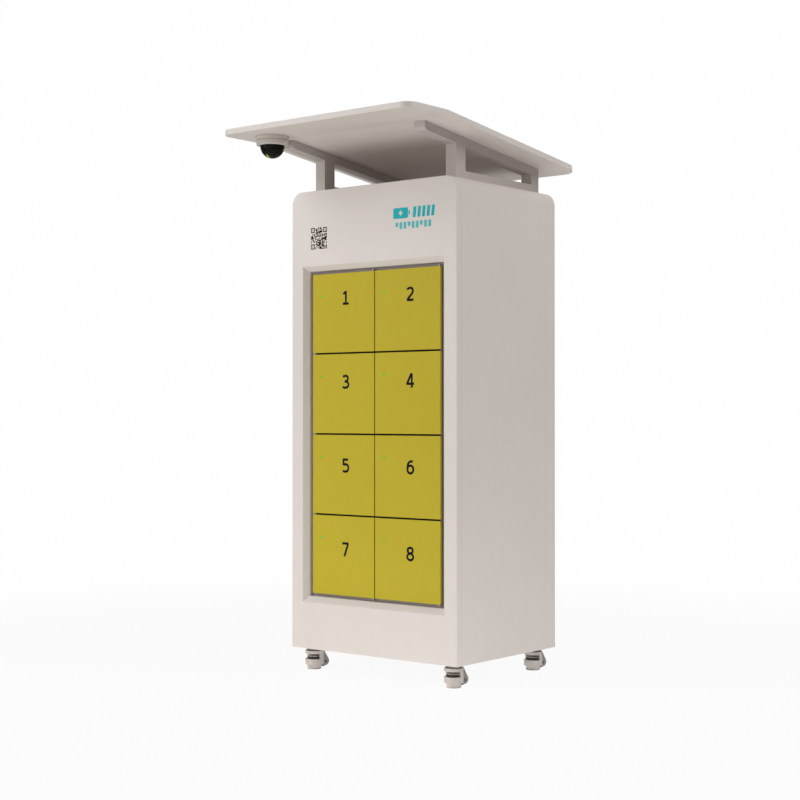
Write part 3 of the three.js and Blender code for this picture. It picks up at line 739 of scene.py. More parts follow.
DOORS = [measured_door(number) for number in range(1, 9)]
DOOR_FACE = box_of("door_1").y0
DOOR_BACK = DOOR_FACE + 9.0
HINGE_INSET, HINGE_Y = 7.0, 24.5
NUMBER_X = (-134.2, 160.0)                       # by column
NUMBER_Z = (1262.0, 963.3, 664.6, 366.0)         # by row, from the top

STROKE, FIGURE_H = 8.5, 49.0                     # stroke width and figure height
BAR = STROKE / 2
WIDEN, HEIGHTEN = 1.23, 1.025                    # figures against the centre lines below


def curve(start, *pieces):
    """Centre line of Bezier pieces, each (control, control, end, steps)."""
    points = [start]
    for control_a, control_b, end, steps in pieces:
        begin = points[-1]
        for i in range(1, steps + 1):
            t = i / steps
            weights = ((1 - t) ** 3, 3 * t * (1 - t) ** 2, 3 * t * t * (1 - t), t ** 3)
            corners = (begin, control_a, control_b, end)
            points.append(tuple(sum(w * corner[axis] for w, corner in zip(weights, corners))
                                for axis in (0, 1)))
    return points


# centre lines in (x, z) from the foot of a figure; a tuple is a ring: x, z, radius x, radius z
FIGURES = {
    1: [[(-9.4, 38.0), (0.2, FIGURE_H - BAR + 0.3)], [(0.9, FIGURE_H), (0.9, 0.0)],
        [(-10.6, BAR), (12.0, BAR)]],
    2: [curve((-10.6, 38.8), ((-7.0, 46.2), (9.4, 48.6), (9.6, 34.6), 16),
              ((9.4, 24.0), (-4.0, 16.0), (-9.2, 5.6), 18)),
        [(-12.2, BAR), (12.0, BAR)]],
    3: [curve((-9.6, 40.6), ((-4.0, 46.6), (9.2, 46.4), (9.0, 35.4), 16),
              ((8.8, 26.6), (0.4, 25.2), (-3.6, 25.2), 10)),
        curve((-3.6, 25.2), ((4.0, 25.2), (11.0, 21.4), (10.8, 14.0), 12),
              ((10.4, 0.8), (-5.6, 1.2), (-10.8, 7.2), 16))],
    4: [[(4.0, FIGURE_H - 1.0), (-10.8, 14.6)], [(-13.8, 13.8), (13.8, 13.8)],
        [(5.6, FIGURE_H), (5.6, 0.0)]],
    5: [[(9.6, FIGURE_H - BAR), (-9.4, FIGURE_H - BAR)], [(-8.0, FIGURE_H), (-8.0, 24.6)],
        curve((-8.0, 26.4), ((0.0, 31.4), (11.0, 27.8), (10.6, 15.6), 14),
              ((10.0, 0.6), (-5.0, 1.0), (-10.4, 6.6), 16))],
    6: [curve((8.8, 42.4), ((-2.0, 48.4), (-10.4, 37.0), (-9.9, 18.0), 22)),
        (0.5, 16.2, 10.6, 12.9)],
    7: [[(-12.2, FIGURE_H - BAR), (11.8, FIGURE_H - BAR)],
        [(9.6, FIGURE_H - BAR - 0.6), (-4.6, 0.0)]],
    8: [(0.0, 35.2, 9.0, 9.6), (0.0, 14.0, 10.6, 10.9)],
}


def ribbon(points, back, front, mat):
    """A flat stroke along a centre line."""
    loops = []
    for i, (x, z) in enumerate(points):
        before, after = Vector(points[max(i - 1, 0)]), Vector(points[min(i + 1, len(points) - 1)])
        along = (after - before).normalized()
        side_x, side_z = -along.y * STROKE / 2, along.x * STROKE / 2
        left, right = (x + side_x, z + side_z), (x - side_x, z - side_z)
        loops.append(at_y([left, right], back) + at_y([right, left], front))
    return solid(mat, loops)


def ellipse(x, z, radius_x, radius_z, count=56):
    return [(x + radius_x * math.cos(a), z + radius_z * math.sin(a))
            for a in [math.radians(360 * i / count) for i in range(count)]]


def figure(number, x, z, back):
    """A door number cut from film: strokes that overlap, each a hair prouder than the last."""
    strokes = []
    for i, part in enumerate(FIGURES[number]):
        front = back - 0.12 - 0.012 * i
        if isinstance(part, tuple):
            mid_x, mid_z = part[0] * WIDEN + x, (part[1] - 24.0) * HEIGHTEN + z
            wide, tall = part[2] * WIDEN, part[3] * HEIGHTEN
            outside = ellipse(mid_x, mid_z, wide + BAR, tall + BAR)
            inside = ellipse(mid_x, mid_z, wide - BAR, tall - BAR)
            strokes.append(solid(NUMBER_INK, [at_y(outside, back), at_y(outside, front),
                                              at_y(inside, front), at_y(inside, back)],
                                 closed=True))
        else:
            line = [(px * WIDEN + x, (pz - 24.5) * HEIGHTEN + z) for px, pz in part]
            strokes.append(ribbon(line, back, front, NUMBER_INK))
    return merged(strokes)


def door_skin(door):
    x0, x1, z0, z1 = door.x0, door.x1, door.z0, door.z1
    skin = door_pan((x0, x1, z0 + 0.7, z1 - 0.7), 1.6, (x0 + 20, x1 - 14, z0 + 1.6, z1 - 1.6), 1.6,
                    DOOR_FACE, DOOR_BACK, fillet=1.5, sheet=1.5, mat=DOOR_PAINT)
    return cut(skin, drum(at_y, door.lamp, 3.0, DOOR_FACE - 3, DOOR_BACK + 3, 32))


def door_stiffener(door):
    """A shallow hat section across the back of the door."""
    brim, crown = [
        block(door.x0 + 24, door.x1 - 18, front, back, door.mid_z - half, door.mid_z + half,
              DOOR_INSIDE, 0.5)
        for half, front, back in ((20, DOOR_FACE + 1.52, DOOR_FACE + 2.6),
                                  (11, DOOR_FACE + 2.5, DOOR_BACK - 1.2))]
    return join(brim, crown)


# (y, z from the door's middle) of the upper half of the tongue's tip
TONGUE_TIP = [(52.0, 2.2), (51.2, 4.6), (49.0, 6.0)]


def door_fittings(door):
    """Hinge pins, the tongue with its catch hole, and its two foot plates with screws."""
    x0, mid_z = door.x0, door.mid_z
    hinge = (door.x1 - HINGE_INSET, HINGE_Y)
    parts = [hinge_pin(hinge, start, end, 2.0, 0.4, 24)
             for start, end in ((door.z1 - 4, door.z1 + GAP_HALF), (door.z0 + 4, door.z0 - GAP_HALF))]
    tip = [(y, mid_z - z) for y, z in reversed(TONGUE_TIP)] + [(y, mid_z + z) for y, z in TONGUE_TIP]
    root = DOOR_BACK - 1.0
    tongue = prism([(root, mid_z - 6)] + tip + [(root, mid_z + 6)], at_x, x0 + 11, x0 + 13,
                   PIN_STEEL, 0.3)
    parts.append(cut(tongue, drum(at_x, (45.0, mid_z), 3.0, x0 + 5, x0 + 19, 24)))
    for low, high in ((-20, -7), (7, 20)):
        parts.append(block(x0 + 6.5, x0 + 18, DOOR_BACK + 0.02, DOOR_BACK + 1.4, mid_z + low,
                           mid_z + high, PIN_STEEL, 0.3))
    for z in (mid_z - 13.5, mid_z + 13.5):
        parts.append(bolt_head(at_y, (x0 + 12.2, z), DOOR_BACK + 1.4, DOOR_BACK + 3.0, 2.8,
                               PIN_STEEL))
    return merged(parts)


# (radius, y from the door's face)
LENS = [(2.7, 7.4), (2.7, -0.15), (2.45, -0.55), (1.9, -0.85), (1.2, -1.02), (0.5, -1.09)]
LAMP_RING = [(2.85, -0.02), (4.5, -0.02), (4.5, -0.25), (4.2, -0.5), (3.2, -0.6), (2.85, -0.4)]

for door in DOORS:
    body = "door_%d" % door.number
    lamp = "status_led_%d" % door.number
    place(door_skin(door), body + "_skin", body, body, angle=30)
    place(door_stiffener(door), body + "_stiffener", body, angle=30)
    place_detail(door_fittings(door), body + "_fittings", body, angle=30)
    place_detail(turned(at_y, door.lamp, shifted(LENS, DOOR_FACE), LED, 40),
                 lamp + "_lens", body, lamp, angle=40)
    place_detail(turned(at_y, door.lamp, shifted(LAMP_RING, DOOR_FACE), BEZEL, 40, closed=True),
                 lamp + "_bezel", body, angle=40)
    if door.column == 0:                         # black strip on the door's edge beside the middle gap: painted shade
        place_detail(block(door.x1 + 0.02, door.x1 + 0.6, DOOR_FACE + 1.3, DOOR_BACK - 0.5,
                           door.z0 + 2.0, door.z1 - 2.0, GAP_SHADE_BLACK, 0.2, 0.25, at_x),
                     body + "_gap_shade_strip", body, angle=35)
    place_detail(figure(door.number, NUMBER_X[door.column], NUMBER_Z[door.row], DOOR_FACE - 0.03),
                 body + "_number", body, angle=30)

# foam seals round the compartment openings, on the door frame
OPENING_LEFT, OPENING_RIGHT, OPENING_END = 23.0, 18.5, 12.0  # in from the door's edges
# (outset from the opening, y from the frame's face)
SEAL_SECTION = [(1.0, -0.02), (5.5, -0.02), (5.5, -3.2), (5.0, -4.6), (3.9, -5.5), (2.6, -5.5),
                (1.5, -4.6), (1.0, -3.2)]
for door in DOORS:
    left, right = door.x0 + OPENING_LEFT, door.x1 - OPENING_RIGHT
    low, high = door.z0 + OPENING_END, door.z1 - OPENING_END
    loops = [at_y(rounded_rect(left - t, right + t, low - t, high + t, 3.0, 5), y)
             for t, y in shifted(SEAL_SECTION, FRAME_Y)]
    place_detail(solid(FOAM, loops, closed=True), "door_seal_%d" % door.number, "cabinet",
                 angle=40)

# black blades on the frame in the level gaps between the doors and a black cap over each hinge ear,
# all painted shade that keeps the gaps dark, and, in the left column, a grey stop at the left end
GAP_SHADE_HALF = 2.4
gap_shade_pieces, stops = [], []
for upper, lower in zip(DOORS[:-2], DOORS[2:]):
    gap_z = (upper.z0 + lower.z1) / 2
    span = (gap_z - GAP_SHADE_HALF, gap_z + GAP_SHADE_HALF)
    in_left = upper.column == 0
    ear_x = upper.x1 - HINGE_INSET
    gap_shade_pieces.append(block(upper.x0 + (14.0 if in_left else -2.0), upper.x1 - 12.2, DOOR_FACE + 1.2,
                        FRAME_Y - 0.02, *span, GAP_SHADE_BLACK, 0.3, 0.4, at_x))
    gap_shade_pieces.append(block(ear_x - 5.3, ear_x + (7.2 if in_left else 6.2), DOOR_FACE + 0.9,
                        DOOR_FACE + 1.45, *span, GAP_SHADE_BLACK, 0.15, 0.2))
    if in_left:
        stops.append(block(upper.x0 + 0.5, upper.x0 + 13.9, DOOR_FACE + 1.6, FRAME_Y - 0.02,
                           *span, FRAME_PAINT, 0.4, 0.6, at_x))
place_detail(merged(gap_shade_pieces), "door_gap_blades", "cabinet", angle=40)
place_detail(merged(stops), "door_gap_stops", "cabinet", angle=40)

# ------------------------------------------------------------------ marks on the upper fascia
FILM_FRONT, FILM_BACK = -0.16, -0.03
# square code: edges, cells each way, and how far each bar stays inside its cells
CODE_X0, CODE_X1, CODE_Z0, CODE_Z1 = -283.0, -207.0, 1441.7, 1519.5
CELLS, CELL_GAP = 21, 0.02
FINDER = 5                                       # cells across a corner square


def code_grid():
    """Random cells with a ringed square in three corners, each in a clear border."""
    rng = random.Random(20)
    grid = [[rng.random() < 0.56 for _ in range(CELLS)] for _ in range(CELLS)]
    far = CELLS - FINDER
    for column, row in ((0, 0), (far, 0), (0, far)):
        for i in range(-1, FINDER + 1):
            for j in range(-1, FINDER + 1):
                if 0 <= column + i < CELLS and 0 <= row + j < CELLS:
                    inside = 0 <= i < FINDER and 0 <= j < FINDER
                    marked = i in (0, 4) or j in (0, 4) or (i == 2 and j == 2)
                    grid[row + j][column + i] = inside and marked
    return grid


def code_bars(grid):
    """Each run of filled cells in a row as one bar."""
    cell_w, cell_h = (CODE_X1 - CODE_X0) / CELLS, (CODE_Z1 - CODE_Z0) / CELLS
    bars = []
    for j, cells in enumerate(grid):
        i = 0
        while i < CELLS:
            if not cells[i]:
                i += 1
                continue
            end = i
            while end + 1 < CELLS and cells[end + 1]:
                end += 1
            x0, x1 = CODE_X0 + i * cell_w + CELL_GAP, CODE_X0 + (end + 1) * cell_w - CELL_GAP
            z0, z1 = CODE_Z1 - (j + 1) * cell_h + CELL_GAP, CODE_Z1 - j * cell_h - CELL_GAP
            corners = [(x0, z0), (x1, z0), (x1, z1), (x0, z1)]
            bars.append([at_y(corners, FILM_BACK), at_y(corners, FILM_FRONT)])
            i = end + 1
    return bars


def film(points, mat):
    return prism(points, at_y, FILM_BACK, FILM_FRONT, mat)


place_detail(solid(CODE_INK, *code_bars(code_grid())), "fascia_code", "cabinet", angle=30)

# pictogram: a battery with a bolt, then slanting charge bars; a row of short dashes below
SIGN_X, SIGN_Z0, SIGN_Z1, BATTERY_Z = 100.0, 1485.5, 1559.0, 1522
BOLT = [(37, 1554), (22, 1538), (32, 1538), (28, 1527), (44, 1543), (34, 1543)]
battery = film(rounded_rect(SIGN_X, SIGN_X + 66, BATTERY_Z, SIGN_Z1, 6, 8), TEAL)
cut(battery, prism([(SIGN_X + x, z) for x, z in BOLT], at_y, FILM_BACK + 1, FILM_FRONT - 1))
sign = [battery, film(rounded_rect(SIGN_X + 68, SIGN_X + 74, 1533, 1548, 2), TEAL)]
for i in range(5):
    x = SIGN_X + 86 + i * 20
    sign.append(film([(x, BATTERY_Z), (x + 13, BATTERY_Z), (x + 17, SIGN_Z1), (x + 4, SIGN_Z1)],
                     TEAL))
place_detail(merged(sign), "fascia_pictogram", "cabinet", angle=30)
dashes = []
for i in range(9):
    x = SIGN_X + 10 + i * 18
    dashes.append(film(rounded_rect(x, x + 12, SIGN_Z0 + (0 if i % 3 else 8), SIGN_Z0 + 24, 3),
                       TEAL_LIGHT))
place_detail(merged(dashes), "fascia_dashes", "cabinet", angle=30)

# ------------------------------------------------------------------ canopy
ROOF = box_of("roof_panel")
FOLD_Y = -114.0                                  # level in front of the fold, falling behind it
REAR_TOP = 1750.5
PITCH = (ROOF.z1 - REAR_TOP) / (ROOF.y1 - FOLD_Y)
ROOF_T, ROOF_FILLET = 20.0, 2.6
FRONT_R, REAR_R = 42.0, 58.0                     # corner radii in plan


def top_z(y):
    return ROOF.z1 if y <= FOLD_Y else ROOF.z1 - PITCH * (y - FOLD_Y)


def roof_plan(t):
    """Roof outline anticlockwise, with three points on each side round the fold."""
    side, steps = ROOF.x1, 12
    front_y, rear_y = ROOF.y0 + FRONT_R, ROOF.y1 - REAR_R
    points = arc((side - FRONT_R, front_y), FRONT_R - t, -90, 90, steps)
    points += [(side - t, FOLD_Y + y) for y in (-3.0, 0.0, 3.0)]
    points += arc((side - REAR_R, rear_y), REAR_R - t, 0, 90, steps)
    points += arc((-side + REAR_R, rear_y), REAR_R - t, 90, 90, steps)
    points += [(-side + t, FOLD_Y + y) for y in (3.0, 0.0, -3.0)]
    points += arc((-side + FRONT_R, front_y), FRONT_R - t, 180, 90, steps)
    return points


def canopy_plate():
    """The bent plate, each large face made of two flats that meet at the fold."""
    def level(t, drop):
        return [(x, y, top_z(y) - drop) for x, y in roof_plan(t)]

    bm = bmesh.new()
    loops = [level(i * ROOF_FILLET, d * ROOF_FILLET) for i, d in FILLET]
    loops += [level(i * ROOF_FILLET, ROOF_T - d * ROOF_FILLET) for i, d in reversed(FILLET)]
    rings = loft(bm, loops, caps=False)
    outline = roof_plan(0.0)
    count = len(outline)
    right, left = outline.index((ROOF.x1, FOLD_Y)), outline.index((-ROOF.x1, FOLD_Y))
    for verts in (rings[0], rings[-1]):
        bm.faces.new([verts[i] for i in range(right, left + 1)])
        bm.faces.new([verts[i % count] for i in range(left, right + count + 1)])
    return mesh_object(bm, ROOF_PAINT)


canopy = place(canopy_plate(), "canopy_panel", "cabinet", "roof_panel", angle=30)
fold_y = FOLD_Y * 0.001 + ORIGIN_Y
for edge in canopy.data.edges:                   # the fold stays crisp
    if all(abs(canopy.data.vertices[i].co.y - fold_y) < 1e-5 for i in edge.vertices):
        edge.use_edge_sharp = True

# ------------------------------------------------------------------ brackets
POST_Y = (68.0, 122.0, 523.0, 570.0)             # front post's faces, then the rear post's
WINDOW_Z = 1682.0                                # bottom of the window between the posts
BEAM = 30.0                                      # depth of the upper beam
NOSE_R = 20.0                                    # round under the beam's front end


def beam_low(y):
    return top_z(y) - ROOF_T - BEAM


def bracket_loop(box, window):
    """Two posts with a lower beam and an upper beam that runs forward under the canopy."""
    def beam_top(y):
        return top_z(y) - ROOF_T - 0.3

    nose_y = box.y0 + NOSE_R
    outline = [(POST_Y[0], box.z0), (POST_Y[3], box.z0), (POST_Y[3], beam_top(POST_Y[3])),
               (box.y0, beam_top(box.y0)), (box.y0, beam_low(box.y0) + NOSE_R)]
    outline += arc((nose_y, beam_low(nose_y) + NOSE_R), NOSE_R, 180, 90, 10)[1:]
    outline += [(POST_Y[0], beam_low(POST_Y[0]))]
    return cut(prism(outline, at_x, box.x0, box.x1, BRACKET_SHADED_PAINT),
               prism(window, at_x, box.x0 - 5, box.x1 + 5))


def weld_bead(box, y, z, sign_y, sign_z):
    """A rippled bead along x in one corner of the window."""
    length_steps, count = 30, 10
    loops = []
    for i in range(length_steps + 1):
        x = box.x0 + 3.5 + (box.x1 - box.x0 - 7.0) * i / length_steps
        radius = 0.4 if i in (0, length_steps) else 2.3 + 0.25 * math.sin(i * 2.4)
        loops.append([(x, y + sign_y * (0.3 + radius * 0.7 * math.cos(2 * math.pi * k / count)),
                       z + sign_z * (0.3 + radius * 0.7 * math.sin(2 * math.pi * k / count)))
                      for k in range(count)])
    return solid(BRACKET_SHADED_PAINT, loops)


for node in ("roof_bracket_left", "roof_bracket_right"):
    box = box_of(node)
    front, rear = POST_Y[1], POST_Y[2]
    window = [(front, WINDOW_Z), (rear, WINDOW_Z), (rear, beam_low(rear)), (front, beam_low(front))]
    place(bracket_loop(box, window), node + "_loop", "cabinet", node, angle=24, bevel=2.4,
          segments=4)
    beads = [weld_bead(box, y, z, 1 if y == front else -1, 1 if z == WINDOW_Z else -1)
             for y, z in window]
    place_detail(merged(beads), node + "_welds", "cabinet", angle=50)

# ------------------------------------------------------------------ dome camera
base = box_of("camera_base")
CAMERA = ((base.x0 + base.x1) / 2, (base.y0 + base.y1) / 2)
CAMERA_R = (base.x1 - base.x0) / 2
CAMERA_TOP = base.z1 + 0.3
DOME_R = 42.6
DOME_Z = CAMERA_TOP - 34.8                       # centre of the dome
BALL_R = 23
BALL_Z = CAMERA_TOP - 44.0

# (radius, z from CAMERA_TOP)
CUP = [(9, -0.3), (CAMERA_R, -0.3), (CAMERA_R, -13.9), (CAMERA_R - 3, -13.9),
       (CAMERA_R - 3, -3.5), (9, -3.5), (9, -0.35)]
COVER = [(CAMERA_R - 3, -16.1), (CAMERA_R, -16.1), (CAMERA_R, -28.8), (CAMERA_R - 1.4, -32.0),
         (CAMERA_R - 4.4, -33.3), (43.1, -33.3), (43.1, -30.8), (CAMERA_R - 3, -30.8),
         (CAMERA_R - 3, -16.15)]
place_detail(turned(at_z, CAMERA, rounded_profile(shifted(CUP, CAMERA_TOP), 0.6), CAMERA_SHELL,
                    96, closed=True), "camera_base_cup", "cabinet", "camera_base", angle=30)
# the gasket's brown tint doubles as painted shade in the seam
place_detail(collar(at_z, CAMERA, CAMERA_R - 4.6, CAMERA_R - 0.5, CAMERA_TOP - 13.7,
                    CAMERA_TOP - 16.3, 96, GASKET_SHADE_TINT), "camera_joint_gasket", "cabinet", angle=30)
place_detail(turned(at_z, CAMERA, rounded_profile(shifted(COVER, CAMERA_TOP), 0.8), CAMERA_SHELL,
                    96, closed=True), "camera_cover", "cabinet", "camera_cover_ring", angle=30)
profile = shifted([(48, -28.3), (48, -30.3), (DOME_R, -30.3)], CAMERA_TOP)
profile += [(DOME_R * math.cos(a), DOME_Z - DOME_R * math.sin(a))
            for a in [math.pi / 2 * i / 22 for i in range(22)]]
profile += [(0.6, DOME_Z - DOME_R + 0.004)]
place_detail(turned(at_z, CAMERA, profile, SMOKED, 96), "camera_dome_shell", "cabinet",
             "camera_dome", angle=40)

# (share of the half width, height above the dome) across the painted glint streak
GLINT_SECTION = [(-1.0, -0.3), (-1.0, 0.02), (-0.9, 0.16), (-0.5, 0.28), (0.0, 0.32),
                  (0.5, 0.28), (0.9, 0.16), (1.0, 0.02), (1.0, -0.3)]


def glint_streak():
    """A narrow yellow-green streak, pointed at both ends, down the front of the dome: a painted
    glint.
    """
    loops = []
    for i in range(25):
        t = i / 24.0
        elevation = math.radians(-46.0 - 35.0 * t)
        azimuth = math.radians(-93.0 - 14.0 * t * t)
        radial = Vector((math.cos(elevation) * math.cos(azimuth),
                         math.cos(elevation) * math.sin(azimuth), math.sin(elevation)))
        across = Vector((-math.sin(azimuth), math.cos(azimuth), 0.0))
        half = 0.25 + 3.6 * math.sqrt(max(0.0, 1.0 - (2 * t - 1) ** 2)) ** 0.8
        section = []
        for share, height in GLINT_SECTION:
            point = radial * DOME_R + across * (share * half)
            point = point.normalized() * (DOME_R + height)
            section.append((CAMERA[0] + point.x, CAMERA[1] + point.y, DOME_Z + point.z))
        loops.append(section)
    return solid(GLINT_PAINT, loops)


place_detail(glint_streak(), "camera_dome_painted_glint", "cabinet", angle=40)
for i in range(3):
    a = math.radians(40 + 120 * i)
    reach = CAMERA_R - 6.6
    spot = (CAMERA[0] + reach * math.cos(a), CAMERA[1] + reach * math.sin(a))
    screw = bolt_head(at_z, spot, CAMERA_TOP - 33.2, CAMERA_TOP - 34.7, 2.4, ZINC_STEEL)
    place_detail(screw, "camera_screw_%d" % (i + 1), "cabinet", angle=40)


def camera_ball():
    """Turntable with its stem, yoke arms, ball and the axle through it."""
    x, y = CAMERA
    table = shifted([(1, -19), (34, -19), (34, -25), (1, -25)], CAMERA_TOP)
    parts = [turned(at_z, CAMERA, rounded_profile(table, 0.8), BLACK),
             drum(at_z, CAMERA, 8, CAMERA_TOP - 2, CAMERA_TOP - 19.5, 32, BLACK)]
    for arm_x in (x - 28.5, x + 28.5):
        parts.append(block(arm_x - 2.5, arm_x + 2.5, y - 6, y + 6, BALL_Z - 6, CAMERA_TOP - 24.5,
                           BLACK, 0.8, 3, at_x))
    ball = [(max(BALL_R * math.sin(a), 0.3), BALL_Z - BALL_R * math.cos(a))
            for a in [math.pi * i / 24 for i in range(25)]]
    parts.append(turned(at_z, CAMERA, ball, HANDLE_BLACK, 48))
    parts.append(drum(at_x, (y, BALL_Z), 4, x - 29, x + 29, 24, PIN_STEEL))
    return merged(parts)


# (radius, distance from the ball's centre along the view axis)
LENS_BARREL = ((10, 18), (10, 26.4), (9.4, 27), (7.6, 27), (7.2, 25.2), (4.5, 24.6), (0.4, 26.2))


def camera_lens():
    """The lens barrel, looking forward and down."""
    view = Vector((0, -math.cos(0.7), -math.sin(0.7)))
    side = Vector((1, 0, 0))
    up = view.cross(side)
    centre = Vector((*CAMERA, BALL_Z))
    angles = [2 * math.pi * i / 48 for i in range(48)]
    return solid(SMOKED, [
        [tuple(centre + view * height + side * (radius * math.cos(a))
               + up * (radius * math.sin(a))) for a in angles]
        for radius, height in LENS_BARREL])


place_detail(camera_ball(), "camera_ball", "camera_module", "camera_module", angle=40)
place_detail(camera_lens(), "camera_lens", "camera_module", angle=35)

# ------------------------------------------------------------------ castors
HOUSING_R = 33.0
COLUMN_R = 26.0                                  # inner radius of the housing's rear column
CHEEK_HALF = 15.5
WHEEL_GAP = 9.2                                  # half the gap between the cheeks
BORE_R = 8.8

# (radius, z)
RACE = [(1, -0.3), (33, -0.3), (33, -5), (27, -5.6), (27, -12), (1, -12)]
STUD = [(6, -0.5), (6, 19.4), (5.2, 20)]
LIP = [(1, -12.6), (HOUSING_R, -12.6), (HOUSING_R, -24.5), (1, -24.5)]
LOWER_RING = [(BORE_R, -43), (HOUSING_R, -43), (HOUSING_R, -64), (27.4, -64), (27.4, -50),
              (BORE_R, -50), (BORE_R, -43.05)]
THUMB_TOP = [(8.7, -33.98), (24.2, -33.98), (24.2, -33.1), (23.2, -32.6), (12.5, -32.6),
             (12.0, -33.0), (8.7, -33.0), (8.7, -33.9)]
# (radius, x out from the cheek's face)
BOSS = [(6.4, -0.6), (6.4, 0.9), (5.6, 1.5), (3.0, 1.5), (2.6, 0.6), (0.4, 0.5)]


def castor_mounting(node, centre):
    """Fixed parts: ball race, stud, nut and washer."""
    place_detail(turned(at_z, centre, rounded_profile(RACE, 0.8), HEAD_STEEL, 72),
                 node + "_race", "cabinet", node, angle=35)
    place_detail(turned(at_z, centre, STUD, ZINC_STEEL, 32), node + "_stud", "cabinet", angle=35)
    nut = prism(arc(centre, 10.4, 0, 360, 6)[:-1], at_z, 5.2, 15.0, ZINC_STEEL, 0.8)
    cut(nut, drum(at_z, centre, 6.05, 0, 30, 32))
    place(nut, node + "_nut", "cabinet", angle=35)
    place_detail(collar(at_z, centre, 6.3, 13, 3.1, 5.1, 48, ZINC_STEEL), node + "_washer",
                 "cabinet", angle=35)


def castor_housing(centre, axle):
    """Lip, lower ring, rear column and the cheeks either side of the wheel."""
    x, y = centre
    wheel_y, wheel_z = axle

    def wheel_slot():
        return block(x - WHEEL_GAP, x + WHEEL_GAP, y + 24, y + 90, -95, -37)

    casting = turned(at_z, centre, rounded_profile(LIP, 1.6), CASTING, 80)
    join(casting, turned(at_z, centre, rounded_profile(LOWER_RING, 1.3), CASTING, 80, closed=True))
    # the column is a half ring carried 2 mm past the middle at both ends
    past_outer = math.degrees(math.asin(2.0 / HOUSING_R))
    past_inner = math.degrees(math.asin(2.0 / COLUMN_R))
    column = arc(centre, HOUSING_R - 0.1, -past_outer, 180 + 2 * past_outer, 40)
    column += arc(centre, COLUMN_R, 180 + past_inner, -180 - 2 * past_inner, 40)
    join(casting, prism(column, at_z, -44.5, -23.2, CASTING))
    side = [(y + 22, -63.6)]
    side += [(wheel_y + 20 * math.cos(a), wheel_z + 20 * math.sin(a) * 0.78 + 1.5)
             for a in [-2.13 + 2.75 * i / 24 for i in range(25)]]
    side += [(y + 35, -12.9), (y + 18, -12.9)]
    # the cheeks in the darker copy of the casting colour: painted shade
    cheeks = prism(side, at_x, x - CHEEK_HALF, x + CHEEK_HALF, CHEEK_CASTING_SHADED, 1.8)
    cut(cheeks, wheel_slot())
    cut(cheeks, drum(at_z, centre, COLUMN_R, -44, -24, 64))
    cut(cheeks, drum(at_z, centre, 27.4, -90, -50, 64))
    join(casting, cheeks, "TRANSFER")
    cut(casting, wheel_slot())
    return cut(casting, drum(at_z, centre, BORE_R, -60, -16, 48))


def castor_axle(tag, body, x, axle):
    for sign, side in ((-1, "l"), (1, "r")):
        boss = shifted(BOSS, x + sign * CHEEK_HALF, sign)
        place_detail(turned(at_x, axle, boss, HEAD_STEEL, 40),
                     "castor_axle_boss_%s_%s" % (tag, side), body, angle=35)
    place_detail(drum(at_x, axle, 3, x - 14.5, x + 14.5, 32, PIN_STEEL), "castor_axle_" + tag,
                 body, angle=35)


def castor_wheel(tag, body, x, axle, radius, half):
    """Tread, and a dished hub with six holes."""
    rim, dish = radius - 4.6, radius - 6.2
    tread = [(radius - 4.5, -half), (radius - 1.2, -half), (radius, -half + 2.2),
             (radius, half - 2.2), (radius - 1.2, half), (radius - 4.5, half),
             (radius - 4.5, -half + 0.05)]
    section = [(3.4, -half), (7.5, -half), (7.5, -half + 3.4), (dish, -half + 3.4),
               (dish, -half + 0.8), (rim, -half + 0.8), (rim, half - 0.8), (dish, half - 0.8),
               (dish, half - 3.4), (7.5, half - 3.4), (7.5, half), (3.4, half),
               (3.4, -half + 0.05)]
    place_detail(turned(at_x, axle, rounded_profile(shifted(tread, x), 0.7), TREAD, 72,
                        closed=True), "castor_tread_" + tag, body, body, angle=35)
    hub = turned(at_x, axle, rounded_profile(shifted(section, x), 0.4), HUB, 60, closed=True)
    for spot in arc(axle, 9.9, 0, 360, 6)[:-1]:
        cut(hub, drum(at_x, spot, 1.5, x - 10, x + 10, 20))
    place_detail(hub, "castor_hub_" + tag, body, angle=35)


def castor_thumbwheel(tag, body, centre):
    """Ribbed rim under a pale cap; the cap's colour is brightened past its own tone as painted light
    in the shaded slot.
    """
    count, ribs = 168, 21

    def rim(shrink, height):
        points = []
        for a in [2 * math.pi * i / count for i in range(count)]:
            radius = 24.6 - shrink + 0.4 * max(-1, min(1, 2.4 * math.cos(ribs * a)))
            points.append((centre[0] + radius * math.cos(a), centre[1] + radius * math.sin(a)))
        return at_z(points, height)

    loops = [ring(at_z, centre, 8.7, -42.6, count), rim(1.0, -42.6), rim(0.2, -42.0),
             rim(0.0, -41.4), rim(0.0, -35.2), rim(0.5, -34.4),
             ring(at_z, centre, 22.6, -34.0, count), ring(at_z, centre, 8.7, -34.0, count)]
    place_detail(solid(THUMB_NYLON, loops, closed=True), "castor_thumbwheel_rim_" + tag, body,
                 body, angle=35)
    place_detail(turned(at_z, centre, rounded_profile(THUMB_TOP, 0.3), THUMB_CAP_PAINTED_LIGHT, 72,
                        closed=True), "castor_thumbwheel_cap_" + tag, body, angle=35)


